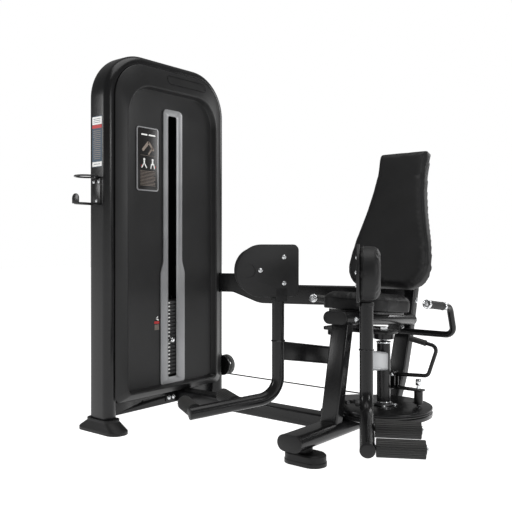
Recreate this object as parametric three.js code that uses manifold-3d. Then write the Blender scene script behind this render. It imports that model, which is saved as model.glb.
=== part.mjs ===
// Seated thigh machine with a selectorised weight tower.
// Millimetres, +Z up. The origin is on the floor under the middle of the front foot of the seat frame.
// The user faces -Y, the weight tower stands at -X, and both swing arms are in their wide start position.
import * as THREE from 'three';
import { mergeVertices } from 'three/addons/utils/BufferGeometryUtils.js';
import Module from 'manifold-3d';

// ---- driving dimensions -------------------------------------------------------------------------

const GAP = 0.3;                                   // air between two pieces that touch

// weight tower
const TOWER_X = -863;                              // middle plane of the hoop
const TOWER_TOP = 1510;
const FRONT_POST_Y = -162;
const REAR_POST_Y = 465;
const HOOP_WIDTH = 120;
const HOOP_DEPTH = 60;
const HOOP_BEND = 160;                             // centreline radius of the two top corners
const BOOT = { length: 247, width: 92, base: 26, top: 52 };
const BASE_BEAM = { low: 56, high: 113, width: 62 };
const COVER = { front: -154, rear: 457, low: 114, high: 1472, cornerTop: 150, cornerLow: 26 };
const CREST = { front: -110, rear: 413, low: 139, high: 1391, rise: 26 };
const PANEL = 3;                                   // wall of the sheet covers
const SEAT_SIDE = TOWER_X + HOOP_WIDTH / 2 + 0.8;  // inner plane of the seat side cover
const FAR_SIDE = TOWER_X - HOOP_WIDTH / 2 - 0.8;   // inner plane of the far side cover

// weight stack
const STACK_Y = 155;
const PLATE = { length: 350, width: 100, pitch: 15.75, low: 184, resting: 9, lifted: 11 };
const GUIDE = { spread: 120, radius: 10, bore: 12, low: 113.3, high: 1309.7, tie: 10 };
const STEM = { radius: 12, bore: 13.5, low: 190 };
const PIN = { radius: 4.5, bore: 5.2, knob: 11 };
const SLIT = { width: 52, low: 176, high: 1287 };
const TRIM = { low: 146, high: 1310, narrow: 109, wide: 140, step: 644, blend: 21, proud: 4.5 };

// cable and pulleys
const CABLE_R = 3;
// groove is the cable's own radius round the axle, floor the bottom of the groove with room for the cable to run
const PULLEY = { groove: 42, floor: 37.4, floorHalf: 2.6, rim: 47, rimHalf: 6, half: 9, hub: 14, axle: 6 };
const TOP_PULLEY_Z = 1380;
const OUTLET = { x: TOWER_X + 42, y: 529, z: 179 };
const CROSSING = { y: 487, z: 262 };
const LOW_PULLEY_Y = 385;

// seat frame
const BEAM = { width: 96, height: 54, centre: 85, front: -93, rear: 690 };
const FOOT = { length: 156, width: 90, height: 40, neck: 25 };
const REAR_FOOT_Y = 600;
const CROSS_BEAM = { y: 242, width: 66, height: 53, centre: 84.5 };
const LEG = { width: 70, depth: 45, y: 158, z: 98, lean: 0.22 };
const POST = { width: 70, depth: 45 };
const LINK_BEAM = { height: 84, width: 45, towerZ: 567, seatZ: 519 };
const RAIL = { width: 100, height: 46, y: 185, z: 475, tilt: 5, length: 575 };
const SEAT = { width: 286, length: 275, thickness: 62, start: 82, corner: 60 };
const BACK = { y: 522, z: 567, recline: 17.5, height: 596, thickness: 58 };
const STRUT_REACH = 165;                           // from the back plate into the rear post

// handlebar
const GRIP = { radius: 15, tube: 12.5, length: 118, x: 248 };

// swing arms, given for the arm on the +X side
const PIVOT = { x: 100, y: 357, tube: 25, neck: 12, low: 158, shoulder: 383, top: 411 };
const ARM = { x: 183, y: 89, radius: 22.5, top: 532, bend: 80, endX: 351, endY: -195, endZ: 150 };
const ARM_LINK = { height: 66, width: 40, armZ: 354, pivotZ: 309 };
const SPLAY = 30;                                  // degrees that the pads point outward at rest
const PAD = { length: 238, height: 188, low: 550, plate: 10, thickness: 60, behind: 69, inward: 26 };
const ROLLER = { radius: 27, length: 140, bore: 9, axle: 8.4, spacing: 150 };
const CAM = { radius: 176, groove: 172, low: 114, high: 150 };
const GEAR = { pitch: 100, teeth: 30, low: 150.3, high: 157.7, addendum: 5.6, dedendum: 7.4 };
const PLUNGER = { x: 212, y: 413, radius: 11, body: 16, pin: 7 };
const LEVER = { x: 113, z: 256, rod: 7 };

// ---- materials ----------------------------------------------------------------------------------

const finish = (color, roughness, metalness) => new THREE.MeshStandardMaterial({ color, roughness, metalness });
const BLACK_STEEL = finish(0x1c1c1e, 0.45, 0.3);
const BLACK_PLASTIC = finish(0x17171a, 0.5, 0);
const DARK_PANEL = finish(0x121214, 0.6, 0);
const SILVER = finish(0xb4b6ba, 0.35, 0.8);
const CHROME = finish(0xd8dade, 0.12, 1);
const RUBBER = finish(0x0e0e0f, 0.85, 0);
const UPHOLSTERY = finish(0x111113, 0.7, 0);
const NYLON = finish(0xc9cbcc, 0.5, 0);
const STACK_STEEL = finish(0x2a2a2d, 0.5, 0.4);
const CABLE_COAT = finish(0x1a1a1a, 0.6, 0);

// ---- solids -------------------------------------------------------------------------------------

const wasm = await Module();
wasm.setup();

// A three.js geometry as a solid that can be joined and cut.
function solid(geometry) {
  const bare = new THREE.BufferGeometry();
  bare.setAttribute('position', geometry.getAttribute('position').clone());
  if (geometry.index) bare.setIndex(geometry.index.clone());
  const merged = mergeVertices(bare, 1e-3);
  const index = merged.index.array;
  const corners = [];
  for (let i = 0; i < index.length; i += 3) {
    const [a, b, c] = [index[i], index[i + 1], index[i + 2]];
    if (a !== b && b !== c && c !== a) corners.push(a, b, c);
  }
  const vertProperties = Float32Array.from(merged.getAttribute('position').array);
  return new wasm.Manifold(new wasm.Mesh({ numProp: 3, vertProperties, triVerts: Uint32Array.from(corners) }));
}

// The solid's surface as a three.js geometry again.
function surface(body) {
  const mesh = body.getMesh();
  const geometry = new THREE.BufferGeometry();
  geometry.setAttribute('position', new THREE.BufferAttribute(Float32Array.from(mesh.vertProperties), 3));
  geometry.setIndex(new THREE.BufferAttribute(Uint32Array.from(mesh.triVerts), 1));
  geometry.computeVertexNormals();
  return geometry;
}

const joined = (...pieces) => pieces.reduce((all, piece) => all.add(piece));
const cut = (piece, ...tools) => tools.reduce((rest, tool) => rest.subtract(tool), piece);
// The main piece of a cut body, without the slivers that the cut leaves on its far side.
const largest = (body) => body.decompose().sort((a, b) => b.volume() - a.volume())[0];
const V = (x, y, z) => new THREE.Vector3(x, y, z);
const rad = THREE.MathUtils.degToRad;

function block(x0, x1, y0, y1, z0, z1) {
  const geometry = new THREE.BoxGeometry(x1 - x0, y1 - y0, z1 - z0);
  return solid(geometry.translate((x0 + x1) / 2, (y0 + y1) / 2, (z0 + z1) / 2));
}

// A round bar between two points.
function bar(radius, from, to, sides = 12) {
  const along = to.clone().sub(from);
  const geometry = new THREE.CylinderGeometry(radius, radius, along.length(), sides);
  geometry.applyQuaternion(new THREE.Quaternion().setFromUnitVectors(V(0, 1, 0), along.clone().normalize()));
  const middle = from.clone().add(to).multiplyScalar(0.5);
  return solid(geometry.translate(middle.x, middle.y, middle.z));
}

// A piece turned on a lathe: pairs of radius and height, starting and ending on the axis or closed.
function turned(profile, axis, centre, sides = 32) {
  const geometry = new THREE.LatheGeometry(profile.map(([r, h]) => new THREE.Vector2(r, h)), sides);
  geometry.applyQuaternion(new THREE.Quaternion().setFromUnitVectors(V(0, 1, 0), axis));
  return upright(solid(geometry.translate(centre.x, centre.y, centre.z)), geometry);
}

// Some lathe profiles come out inside out: those are turned the right way round.
function upright(body, geometry) {
  if (body.volume() > 0) return body;
  const index = geometry.index.array;
  for (let i = 0; i < index.length; i += 3) [index[i], index[i + 1]] = [index[i + 1], index[i]];
  return solid(geometry);
}

// An outline with two flats and two half-round ends, or with rounded corners.
function rounded(width, height, radius = Math.min(width, height) / 2) {
  const [w, h, r] = [width / 2, height / 2, radius];
  const shape = new THREE.Shape();
  shape.absarc(w - r, h - r, r, 0, Math.PI / 2, false);
  shape.absarc(r - w, h - r, r, Math.PI / 2, Math.PI, false);
  shape.absarc(r - w, r - h, r, Math.PI, Math.PI * 1.5, false);
  shape.absarc(w - r, r - h, r, Math.PI * 1.5, Math.PI * 2, false);
  return shape;
}

function plate(shape, thickness, segments = 6, bevel = 0) {
  const options = { depth: thickness - 2 * bevel, curveSegments: segments, bevelEnabled: bevel > 0 };
  Object.assign(options, { bevelThickness: bevel, bevelSize: bevel, bevelOffset: -bevel, bevelSegments: 1 });
  return new THREE.ExtrudeGeometry(shape, options).translate(0, 0, bevel);
}

// An outline drawn in the YZ plane and given a thickness along +X from x.
function sidePlate(shape, x, thickness, segments = 6, bevel = 0) {
  const geometry = plate(shape, thickness, segments, bevel);
  const turn = new THREE.Matrix4().makeBasis(V(0, 1, 0), V(0, 0, 1), V(1, 0, 0));
  return geometry.applyMatrix4(turn).translate(x, 0, 0);
}

// The centreline of a bent tube that lies in one plane: straights joined by arcs of one radius.
class BentPath extends THREE.Curve {
  constructor(corners, radius, side, arcSteps = 6) {
    super();
    this.side = side;
    this.points = [corners[0]];
    this.directions = [corners[1].clone().sub(corners[0]).normalize()];
    for (let i = 1; i < corners.length - 1; i += 1) this.bend(corners, i, radius, arcSteps);
    const last = corners.length - 1;
    this.points.push(corners[last]);
    this.directions.push(corners[last].clone().sub(corners[last - 1]).normalize());
  }

  bend(corners, i, radius, arcSteps) {
    const before = corners[i].clone().sub(corners[i - 1]).normalize();
    const after = corners[i + 1].clone().sub(corners[i]).normalize();
    const angle = before.angleTo(after);
    const axis = before.clone().cross(after).normalize();
    const inward = axis.clone().cross(before);
    const start = corners[i].clone().addScaledVector(before, -radius * Math.tan(angle / 2));
    const centre = start.clone().addScaledVector(inward, radius);
    for (let step = 0; step <= arcSteps; step += 1) {
      const turn = (angle * step) / arcSteps;
      this.points.push(start.clone().sub(centre).applyAxisAngle(axis, turn).add(centre));
      this.directions.push(before.clone().applyAxisAngle(axis, turn));
    }
  }

  get steps() { return this.points.length - 1; }

  getPointAt(u) { return this.points[Math.round(u * this.steps)].clone(); }

  computeFrenetFrames() {
    const tangents = this.directions;
    const binormals = tangents.map(() => this.side);
    const normals = tangents.map((direction) => this.side.clone().cross(direction).normalize());
    return { tangents, normals, binormals };
  }
}

// A tube of one section along a bent path; the section's y lies along the path's side direction.
function tube(shape, corners, radius, side, segments = 6, arcSteps = 6) {
  const path = new BentPath(corners, radius, side, arcSteps);
  return solid(new THREE.ExtrudeGeometry(shape, {
    steps: path.steps, extrudePath: path, curveSegments: segments, bevelEnabled: false,
  }));
}

const circle = (radius) => new THREE.Shape().absarc(0, 0, radius, 0, Math.PI * 2, false);

// ---- the scene graph ----------------------------------------------------------------------------

const machine = new THREE.Group();
const X = V(1, 0, 0);
const Y = V(0, 1, 0);
const Z = V(0, 0, 1);

function add(name, body, material, parent = machine) {
  const mesh = new THREE.Mesh(surface(body), material);
  mesh.name = name;
  parent.add(mesh);
  return mesh;
}

// ---- weight tower: frame ------------------------------------------------------------------------

function hoop(grow = 0) {
  const middle = TOWER_TOP - HOOP_DEPTH / 2;
  const corners = [
    V(TOWER_X, FRONT_POST_Y, BOOT.top + GAP), V(TOWER_X, FRONT_POST_Y, middle),
    V(TOWER_X, REAR_POST_Y, middle), V(TOWER_X, REAR_POST_Y, BOOT.top + GAP),
  ];
  const section = rounded(HOOP_DEPTH + 2 * grow, HOOP_WIDTH + 2 * grow);
  return tube(section, corners, HOOP_BEND, X, 3, 6);
}

// The rear post has a window right through it for the crossing pulley.
function windowInPost() {
  return block(TOWER_X - 20, TOWER_X + 20, REAR_POST_Y - 40, REAR_POST_Y + 40, CROSSING.z - 58, CROSSING.z + 58);
}

function boot(y) {
  const foot = plate(rounded(BOOT.length, BOOT.width), BOOT.base, 4, 3);
  const collar = plate(rounded(HOOP_WIDTH + 8, HOOP_DEPTH + 8), BOOT.top, 4, 3);
  return joined(solid(foot), solid(collar)).translate([TOWER_X, y, 0]);
}

const beamEnds = [FRONT_POST_Y + HOOP_DEPTH / 2 + GAP, REAR_POST_Y - HOOP_DEPTH / 2 - GAP];
const baseBeam = block(TOWER_X - BASE_BEAM.width / 2, TOWER_X + BASE_BEAM.width / 2,
  beamEnds[0], beamEnds[1], BASE_BEAM.low, BASE_BEAM.high);

add('tower_boot_front', boot(FRONT_POST_Y), BLACK_PLASTIC);
add('tower_boot_rear', boot(REAR_POST_Y), BLACK_PLASTIC);
add('tower_base_beam', baseBeam, BLACK_STEEL);

// ---- weight tower: covers -----------------------------------------------------------------------

function coverOutline(front, rear, low, high, topRadius, lowRadius) {
  const shape = new THREE.Shape();
  shape.absarc(rear - topRadius, high - topRadius, topRadius, 0, Math.PI / 2, false);
  shape.absarc(front + topRadius, high - topRadius, topRadius, Math.PI / 2, Math.PI, false);
  shape.absarc(front + lowRadius, low + lowRadius, lowRadius, Math.PI, Math.PI * 1.5, false);
  shape.absarc(rear - lowRadius, low + lowRadius, lowRadius, Math.PI * 1.5, Math.PI * 2, false);
  return shape;
}

// A moulded cover: its edge slopes up to a crest, and the middle is a thin panel set back behind it.
function pressedCover() {
  const outline = coverOutline(COVER.front, COVER.rear, COVER.low, COVER.high, COVER.cornerTop, COVER.cornerLow);
  const moulding = new THREE.ExtrudeGeometry(outline, { depth: CREST.rise, bevelEnabled: false, curveSegments: 5 });
  const points = moulding.getAttribute('position');
  for (let i = 0; i < points.count; i += 1) {
    if (points.getZ(i) < CREST.rise / 2) continue;
    const along = (points.getX(i) - COVER.front) / (COVER.rear - COVER.front);
    const up = (points.getY(i) - COVER.low) / (COVER.high - COVER.low);
    points.setX(i, THREE.MathUtils.lerp(CREST.front, CREST.rear, along));
    points.setY(i, THREE.MathUtils.lerp(CREST.low, CREST.high, up));
  }
  const step = 6;
  const pocket = coverOutline(CREST.front + step, CREST.rear - step, CREST.low + step, CREST.high - step, 110, 20);
  const hollow = plate(pocket, CREST.rise, 5).translate(0, 0, PANEL);
  return cut(solid(moulding), solid(hollow));
}

const toSeatSide = new THREE.Matrix4().makeBasis(Y, Z, X).setPosition(SEAT_SIDE, 0, 0);

const slitOpening = block(SEAT_SIDE - 1, SEAT_SIDE + PANEL + 1, STACK_Y - SLIT.width / 2 - 4,
  STACK_Y + SLIT.width / 2 + 4, SLIT.low - 4, SLIT.high + 4);
const seatSideCover = cut(pressedCover().transform(toSeatSide.elements), slitOpening, linkBeam(2));
add('seat_side_cover', seatSideCover, BLACK_PLASTIC);

// The far side cover is the same moulding turned over, with no slot.
const farSideCover = pressedCover().transform(new THREE.Matrix4().makeBasis(Y, Z, X).elements)
  .mirror([1, 0, 0]).translate([FAR_SIDE, 0, 0]);
add('far_side_cover', farSideCover, BLACK_PLASTIC);

// Silver frame round the long slit through which the plates are seen and selected.
function slotTrim() {
  const [narrow, wide] = [TRIM.narrow / 2, TRIM.wide / 2];
  const shape = new THREE.Shape();
  shape.absarc(narrow - 14, TRIM.high - 14, 14, 0, Math.PI / 2, false);
  shape.absarc(14 - narrow, TRIM.high - 14, 14, Math.PI / 2, Math.PI, false);
  shape.lineTo(-narrow, TRIM.step + TRIM.blend);
  shape.lineTo(-wide, TRIM.step - TRIM.blend);
  shape.absarc(14 - wide, TRIM.low + 14, 14, Math.PI, Math.PI * 1.5, false);
  shape.absarc(wide - 14, TRIM.low + 14, 14, Math.PI * 1.5, Math.PI * 2, false);
  shape.lineTo(wide, TRIM.step - TRIM.blend);
  shape.lineTo(narrow, TRIM.step + TRIM.blend);
  const frame = sidePlate(shape, SEAT_SIDE + PANEL + GAP, TRIM.proud, 2, 1.2).translate(0, STACK_Y, 0);
  const slit = block(SEAT_SIDE, SEAT_SIDE + 20, STACK_Y - SLIT.width / 2, STACK_Y + SLIT.width / 2,
    SLIT.low, SLIT.high);
  return cut(solid(frame), slit);
}
add('slot_trim', slotTrim(), SILVER);

const placard = sidePlate(rounded(119, 261, 10), SEAT_SIDE + PANEL + GAP, 3, 2, 0.8).translate(0, 13.5, 1089.5);
add('placard', solid(placard), DARK_PANEL);

// ---- weight stack -------------------------------------------------------------------------------

const guideY = [STACK_Y - GUIDE.spread, STACK_Y + GUIDE.spread];
guideY.forEach((y, i) => {
  const name = ['guide_rod_front', 'guide_rod_rear'][i];
  add(name, bar(GUIDE.radius, V(TOWER_X, y, GUIDE.low), V(TOWER_X, y, GUIDE.high), 16), CHROME);
});

// One rubber block under the stack takes the load off both guide rods.
const bumper = plate(rounded(60, 2 * GUIDE.spread + 60, 30), PLATE.low - GAP - GUIDE.low, 6)
  .translate(TOWER_X, STACK_Y, GUIDE.low);
const bumperHoles = guideY.map((y) => bar(GUIDE.radius + 0.6, V(TOWER_X, y, 100), V(TOWER_X, y, 200), 16));
add('stack_bumper', cut(solid(bumper), ...bumperHoles), RUBBER);

// Plates stacked flat on one another: a shallow groove in the seat side marks each joint between two plates.
function plates(low, count) {
  const high = low + count * PLATE.pitch;
  const [x, y] = [PLATE.width / 2, PLATE.length / 2];
  const outline = rounded(PLATE.width, PLATE.length, 8);
  let stack = solid(plate(outline, high - low, 1).translate(0, 0, low));
  for (let i = 1; i < count; i += 1) {
    const z = low + i * PLATE.pitch;
    stack = cut(stack, block(x - 2, x + 1, -y - 1, y + 1, z - 0.8, z + 0.8));
  }
  const bores = [-GUIDE.spread, GUIDE.spread].map((off) => bar(GUIDE.bore, V(0, off, low - 5), V(0, off, high + 5)));
  bores.push(bar(STEM.bore, V(0, 0, low - 5), V(0, 0, high + 5)));
  return cut(stack, ...bores).translate([TOWER_X, STACK_Y, 0]);
}

const splitZ = PLATE.low + PLATE.resting * PLATE.pitch;
const stackTop = splitZ + PLATE.lifted * PLATE.pitch;
const pinZ = splitZ + PLATE.pitch / 2;
const pinTunnel = bar(PIN.bore, V(TOWER_X - 22, STACK_Y, pinZ), V(TOWER_X + 70, STACK_Y, pinZ), 10);
add('resting_plates', plates(PLATE.low, PLATE.resting), STACK_STEEL);
add('lifted_plates', cut(plates(splitZ + GAP, PLATE.lifted), pinTunnel), STACK_STEEL);

// The stem hangs from the stack head and has a cross hole at every plate for the selector pin.
function stackHead() {
  const headTop = stackTop + 40;
  const stem = bar(STEM.radius, V(TOWER_X, STACK_Y, STEM.low), V(TOWER_X, STACK_Y, stackTop + 10), 16);
  const head = solid(plate(rounded(70, 60, 12), 22, 3, 2).translate(TOWER_X, STACK_Y, stackTop + 2 * GAP));
  const boss = bar(14, V(TOWER_X, STACK_Y, stackTop + 20), V(TOWER_X, STACK_Y, headTop), 16);
  const holes = [];
  for (let i = 1; i < PLATE.resting + 1; i += 1) {
    const z = PLATE.low + (i + 0.5) * PLATE.pitch;
    holes.push(bar(PIN.bore, V(TOWER_X - 20, STACK_Y, z), V(TOWER_X + 20, STACK_Y, z), 6));
  }
  return cut(joined(stem, head, boss), ...holes);
}
add('stack_head_and_stem', stackHead(), CHROME);

function selectorPin() {
  const outside = TOWER_X + PLATE.width / 2;
  const rod = bar(PIN.radius, V(TOWER_X - 14, STACK_Y, pinZ), V(outside + 3, STACK_Y, pinZ), 10);
  const profile = [[0, 0], [8, 0], [PIN.knob, 3], [PIN.knob, 14], [8, 20], [0, 20]];
  return joined(rod, turned(profile, X, V(outside + 1.5, STACK_Y, pinZ), 20));
}
add('selector_pin', selectorPin(), CHROME);

// ---- pulleys and cable --------------------------------------------------------------------------

// A grooved wheel: the hub stands out on both sides of the rim, and the groove narrows towards its floor.
function pulley(axis, centre) {
  const { axle, hub, rim, rimHalf, floor, floorHalf, half } = PULLEY;
  const bore = axle + GAP;
  const profile = [
    [bore, -half - 3], [hub, -half - 3], [rim, -rimHalf], [floor, -floorHalf], [floor, floorHalf],
    [rim, rimHalf], [hub, half + 3], [bore, half + 3], [bore, -half - 3],
  ];
  return turned(profile, axis, centre, 16);
}

const risingY = LOW_PULLEY_Y - PULLEY.groove;
const crossing = V(TOWER_X, CROSSING.y, CROSSING.z);
const lowPulley = V(TOWER_X, LOW_PULLEY_Y, CROSSING.z + 2 * PULLEY.groove);
const rearTop = V(TOWER_X, risingY - PULLEY.groove, TOP_PULLEY_Z);
const frontTop = V(TOWER_X, STACK_Y + PULLEY.groove, TOP_PULLEY_Z);
const outlet = V(OUTLET.x, OUTLET.y, OUTLET.z);

add('outlet_pulley', pulley(Y, outlet), NYLON);
add('crossing_pulley', pulley(X, crossing), NYLON);
add('low_pulley', pulley(X, lowPulley), NYLON);
add('rear_top_pulley', pulley(X, rearTop), NYLON);
add('front_top_pulley', pulley(X, frontTop), NYLON);

// Outlet pulley: a round guard plate welded to the back of the rear post, with the axle standing out of it.
function outletBracket() {
  const postBack = REAR_POST_Y + HOOP_DEPTH / 2;
  const guard = bar(46, V(outlet.x, postBack - 2, outlet.z), V(outlet.x, postBack + 10, outlet.z), 24);
  const axle = bar(PULLEY.axle, V(outlet.x, postBack + 5, outlet.z), V(outlet.x, outlet.y + 16, outlet.z), 12);
  const head = bar(12, V(outlet.x, outlet.y + 13, outlet.z), V(outlet.x, outlet.y + 20, outlet.z), 12);
  const clear = block(outlet.x - 80, TOWER_X + 21, postBack - 1, postBack + 30, outlet.z + 24, outlet.z + 80);
  return cut(joined(guard, axle, head), clear);
}
const crossingAxle = bar(PULLEY.axle, V(TOWER_X - 25, CROSSING.y, CROSSING.z),
  V(TOWER_X + 25, CROSSING.y, CROSSING.z), 12);

// A forked bracket: two cheeks each side of a pulley, its axle, and a back plate.
function fork(centre, backLow, backHigh, alongY, reach) {
  const cheekX = PULLEY.half + 3 + GAP;
  const pieces = [-1, 1].map((side) => {
    const x = centre.x + side * (cheekX + 2.5);
    const [y0, y1] = alongY ? [centre.y - 16, centre.y + reach] : [centre.y - 16, centre.y + 16];
    const [z0, z1] = alongY ? [centre.z - 16, centre.z + 16] : [centre.z - 16, centre.z + reach];
    return block(x - 2.5, x + 2.5, y0, y1, z0, z1);
  });
  pieces.push(block(centre.x - cheekX - 5, centre.x + cheekX + 5, ...backLow, ...backHigh));
  pieces.push(bar(PULLEY.axle, V(centre.x - cheekX - 1, centre.y, centre.z),
    V(centre.x + cheekX + 1, centre.y, centre.z), 12));
  return joined(...pieces);
}
const railUnderside = TOWER_TOP - HOOP_DEPTH;
const upReach = railUnderside - TOP_PULLEY_Z;
const rearTopFork = fork(rearTop, [rearTop.y - 16, rearTop.y + 16], [railUnderside - 4, railUnderside + 4],
  false, upReach);
const frontTopFork = fork(frontTop, [frontTop.y - 16, frontTop.y + 16], [railUnderside - 4, railUnderside + 4],
  false, upReach);
const postFace = REAR_POST_Y - HOOP_DEPTH / 2;
const lowFork = fork(lowPulley, [postFace - 1, postFace + 4], [lowPulley.z - 16, lowPulley.z + 16],
  true, postFace - lowPulley.y + 2);

// A tie plate across the tower holds the tops of the guide rods and lets the cable pass.
function rodTie() {
  const tie = block(TOWER_X - 22, TOWER_X + 22, beamEnds[0] - 4, beamEnds[1] + 4, GUIDE.high + GAP,
    GUIDE.high + GUIDE.tie);
  const holes = [STACK_Y, risingY].map((y) => bar(7, V(TOWER_X, y, GUIDE.high - 5), V(TOWER_X, y, GUIDE.high + 20)));
  return cut(tie, ...holes);
}
add('tower_hoop', joined(cut(hoop(), windowInPost()), outletBracket(), crossingAxle, rearTopFork, frontTopFork,
  lowFork, rodTie()), BLACK_STEEL);

// The lift cable: from the cam along the floor to the tower, then up inside it to the top pulleys.
function liftCable() {
  const section = new THREE.Shape().absarc(0, 0, CABLE_R, 0, Math.PI * 2, false);
  const g = PULLEY.groove;
  const floorZ = outlet.z - g;
  const alongFloor = tube(section, [V(PIVOT.x - 6, outlet.y, floorZ), V(outlet.x - g, outlet.y, floorZ),
    V(outlet.x - g, outlet.y, crossing.z - 4)], g, Y, 4, 4);
  const inside = tube(section, [V(TOWER_X, outlet.y, crossing.z - 5), V(TOWER_X, outlet.y, crossing.z + g),
    V(TOWER_X, risingY, crossing.z + g), V(TOWER_X, risingY, rearTop.z + g),
    V(TOWER_X, STACK_Y, rearTop.z + g), V(TOWER_X, STACK_Y, TOP_PULLEY_Z - 4)], g, X, 4, 4);
  return joined(alongFloor, inside);
}
add('lift_cable', liftCable(), CABLE_COAT);
add('stack_cable', bar(CABLE_R, V(TOWER_X, STACK_Y, stackTop + 40 + GAP),
  V(TOWER_X, STACK_Y, TOP_PULLEY_Z - 4 - GAP), 8), CABLE_COAT);

// ---- bottle holder on the front post ------------------------------------------------------------

function bottleHolder() {
  const face = FRONT_POST_Y - HOOP_DEPTH / 2 - GAP;
  const back = block(TOWER_X - 24, TOWER_X + 24, face - 4, face, 894, 1000);
  const ring = new THREE.TorusGeometry(44, 3.5, 5, 16).translate(TOWER_X, face - 52, 1003);
  const stub = block(TOWER_X - 8, TOWER_X + 8, face - 12, face - 1, 996, 1006);
  const wire = circle(3.5);
  const loop = tube(wire, [V(TOWER_X - 22, face - 2, 897), V(TOWER_X - 22, face - 100, 897),
    V(TOWER_X + 22, face - 100, 897), V(TOWER_X + 22, face - 2, 897)], 20, Z, 3, 3);
  const tab = frontTab(40, 38, 20, face - 104, 4).translate([TOWER_X, 0, 915]);
  return joined(back, solid(ring), stub, loop, tab);
}

// A tab with a rounded top that stands across the machine, in the XZ plane.
function frontTab(width, height, radius, y, thickness) {
  const geometry = plate(rounded(width, height, radius - 1), thickness, 2);
  geometry.applyMatrix4(new THREE.Matrix4().makeBasis(X, Z, V(0, -1, 0)));
  return solid(geometry.translate(0, y + thickness, 0));
}
add('bottle_holder', bottleHolder(), BLACK_STEEL);

// ---- seat frame ---------------------------------------------------------------------------------

function mainBeam(grow = 0) {
  const section = rounded(BEAM.height + 2 * grow, BEAM.width + 2 * grow);
  return tube(section, [V(0, BEAM.front, BEAM.centre), V(0, BEAM.rear, BEAM.centre)], 1, X, 4);
}

function crossBeam() {
  const start = TOWER_X + BASE_BEAM.width / 2 + GAP;
  const section = rounded(CROSS_BEAM.height, CROSS_BEAM.width, 8);
  const straight = tube(section, [V(start, CROSS_BEAM.y, CROSS_BEAM.centre), V(-20, CROSS_BEAM.y, CROSS_BEAM.centre)],
    1, Y, 3);
  return largest(cut(straight, mainBeam(GAP)));
}

// The rear post leans back from the end of the main beam, steeply at first and then more upright.
function postPath() {
  return [V(0, 606, 112), V(0, 664, 215), V(0, 717, 372), V(0, 753, 513), V(0, 848, 850)];
}

function rearPost(grow = 0) {
  const section = rounded(POST.depth + 2 * grow, POST.width + 2 * grow, 8);
  return largest(cut(tube(section, postPath(), 300, X, 1, 3), mainBeam(GAP)));
}

// Two struts carry the back plate on the rear post.
function backStrut(height) {
  const turn = new THREE.Euler(-rad(BACK.recline), 0, 0);
  const start = V(0, BACK.thickness + 8 + 5 * GAP, height).applyEuler(turn).add(V(0, BACK.y, BACK.z));
  const along = V(0, 1, 0).applyEuler(turn);
  const end = start.clone().addScaledVector(along, STRUT_REACH);
  return tube(rounded(50, 40, 6), [start, end], 1, X, 1);
}

function seatRail(grow = 0) {
  const section = rounded(RAIL.height + 2 * grow, RAIL.width + 2 * grow);
  const slope = Math.tan(rad(RAIL.tilt));
  const end = V(0, RAIL.y + RAIL.length, RAIL.z - RAIL.length * slope);
  return tube(section, [V(0, RAIL.y, RAIL.z), end], 1, X, 4);
}

const seatMiddle = SEAT.start + SEAT.length / 2;

// A flat plate welded on the rail for the seat cushion to be screwed to.
function seatPlate() {
  const board = solid(plate(rounded(210, 230, 20), 10, 1)).translate([0, seatMiddle, RAIL.height / 2 - 2]);
  return board.rotate([-RAIL.tilt, 0, 0]).translate([0, RAIL.y, RAIL.z]);
}

function frontLeg() {
  const at = (z) => V(0, LEG.y + LEG.lean * (z - LEG.z), z);
  const leg = tube(rounded(LEG.depth, LEG.width, 8), [at(85), at(470)], 1, X, 2);
  return largest(cut(leg, mainBeam(GAP), seatRail(GAP)));
}

function linkBeam(grow = 0) {
  const z = [LINK_BEAM.towerZ, LINK_BEAM.seatZ];
  const at = (t, height) => V(TOWER_X + 61 - t * (TOWER_X + 61), THREE.MathUtils.lerp(REAR_POST_Y, 752, t), height);
  const side = V(REAR_POST_Y - 752, -(TOWER_X + 61), 0).normalize();
  const section = rounded(LINK_BEAM.height + 2 * grow, LINK_BEAM.width + 2 * grow, 7);
  const route = [at(-0.03, z[0]), at(0.09, z[0]), at(0.24, z[1]), at(1, z[1])];
  return largest(cut(tube(section, route, 90, side, 1, 3), hoop(GAP), rearPost(GAP)));
}

function foot(y) {
  const pad = solid(plate(rounded(FOOT.length, FOOT.width), FOOT.height, 4, 3));
  const neck = bar(FOOT.neck, V(0, 0, 20), V(0, 0, 70), 20);
  return cut(joined(pad, neck).translate([0, y, 0]), mainBeam(GAP));
}

add('main_beam', joined(mainBeam(), pivotBase(), pivotBase().mirror([1, 0, 0])), BLACK_STEEL);
add('front_foot', foot(0), BLACK_PLASTIC);
add('rear_foot', foot(REAR_FOOT_Y), BLACK_PLASTIC);
add('floor_cross_beam', crossBeam(), BLACK_STEEL);
add('front_leg', frontLeg(), BLACK_STEEL);
add('rear_post', joined(rearPost(), backStrut(120), backStrut(235)), BLACK_STEEL);
add('seat_rail', joined(largest(cut(seatRail(), rearPost(GAP))), seatPlate()), BLACK_STEEL);
add('upper_link_beam', linkBeam(), BLACK_STEEL);

// ---- seat and backrest --------------------------------------------------------------------------

const seatGroup = new THREE.Group();
seatGroup.position.set(0, RAIL.y, RAIL.z);
seatGroup.rotation.x = -rad(RAIL.tilt);
machine.add(seatGroup);

const railTop = RAIL.height / 2;
const seatCushion = solid(plate(rounded(SEAT.width, SEAT.length, SEAT.corner), SEAT.thickness, 4, 9));
add('seat_cushion', seatCushion.translate([0, seatMiddle, railTop + 8 + 4 * GAP]), UPHOLSTERY, seatGroup);

const backGroup = new THREE.Group();
backGroup.position.set(0, BACK.y, BACK.z);
backGroup.rotation.x = -rad(BACK.recline);
machine.add(backGroup);

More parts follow.
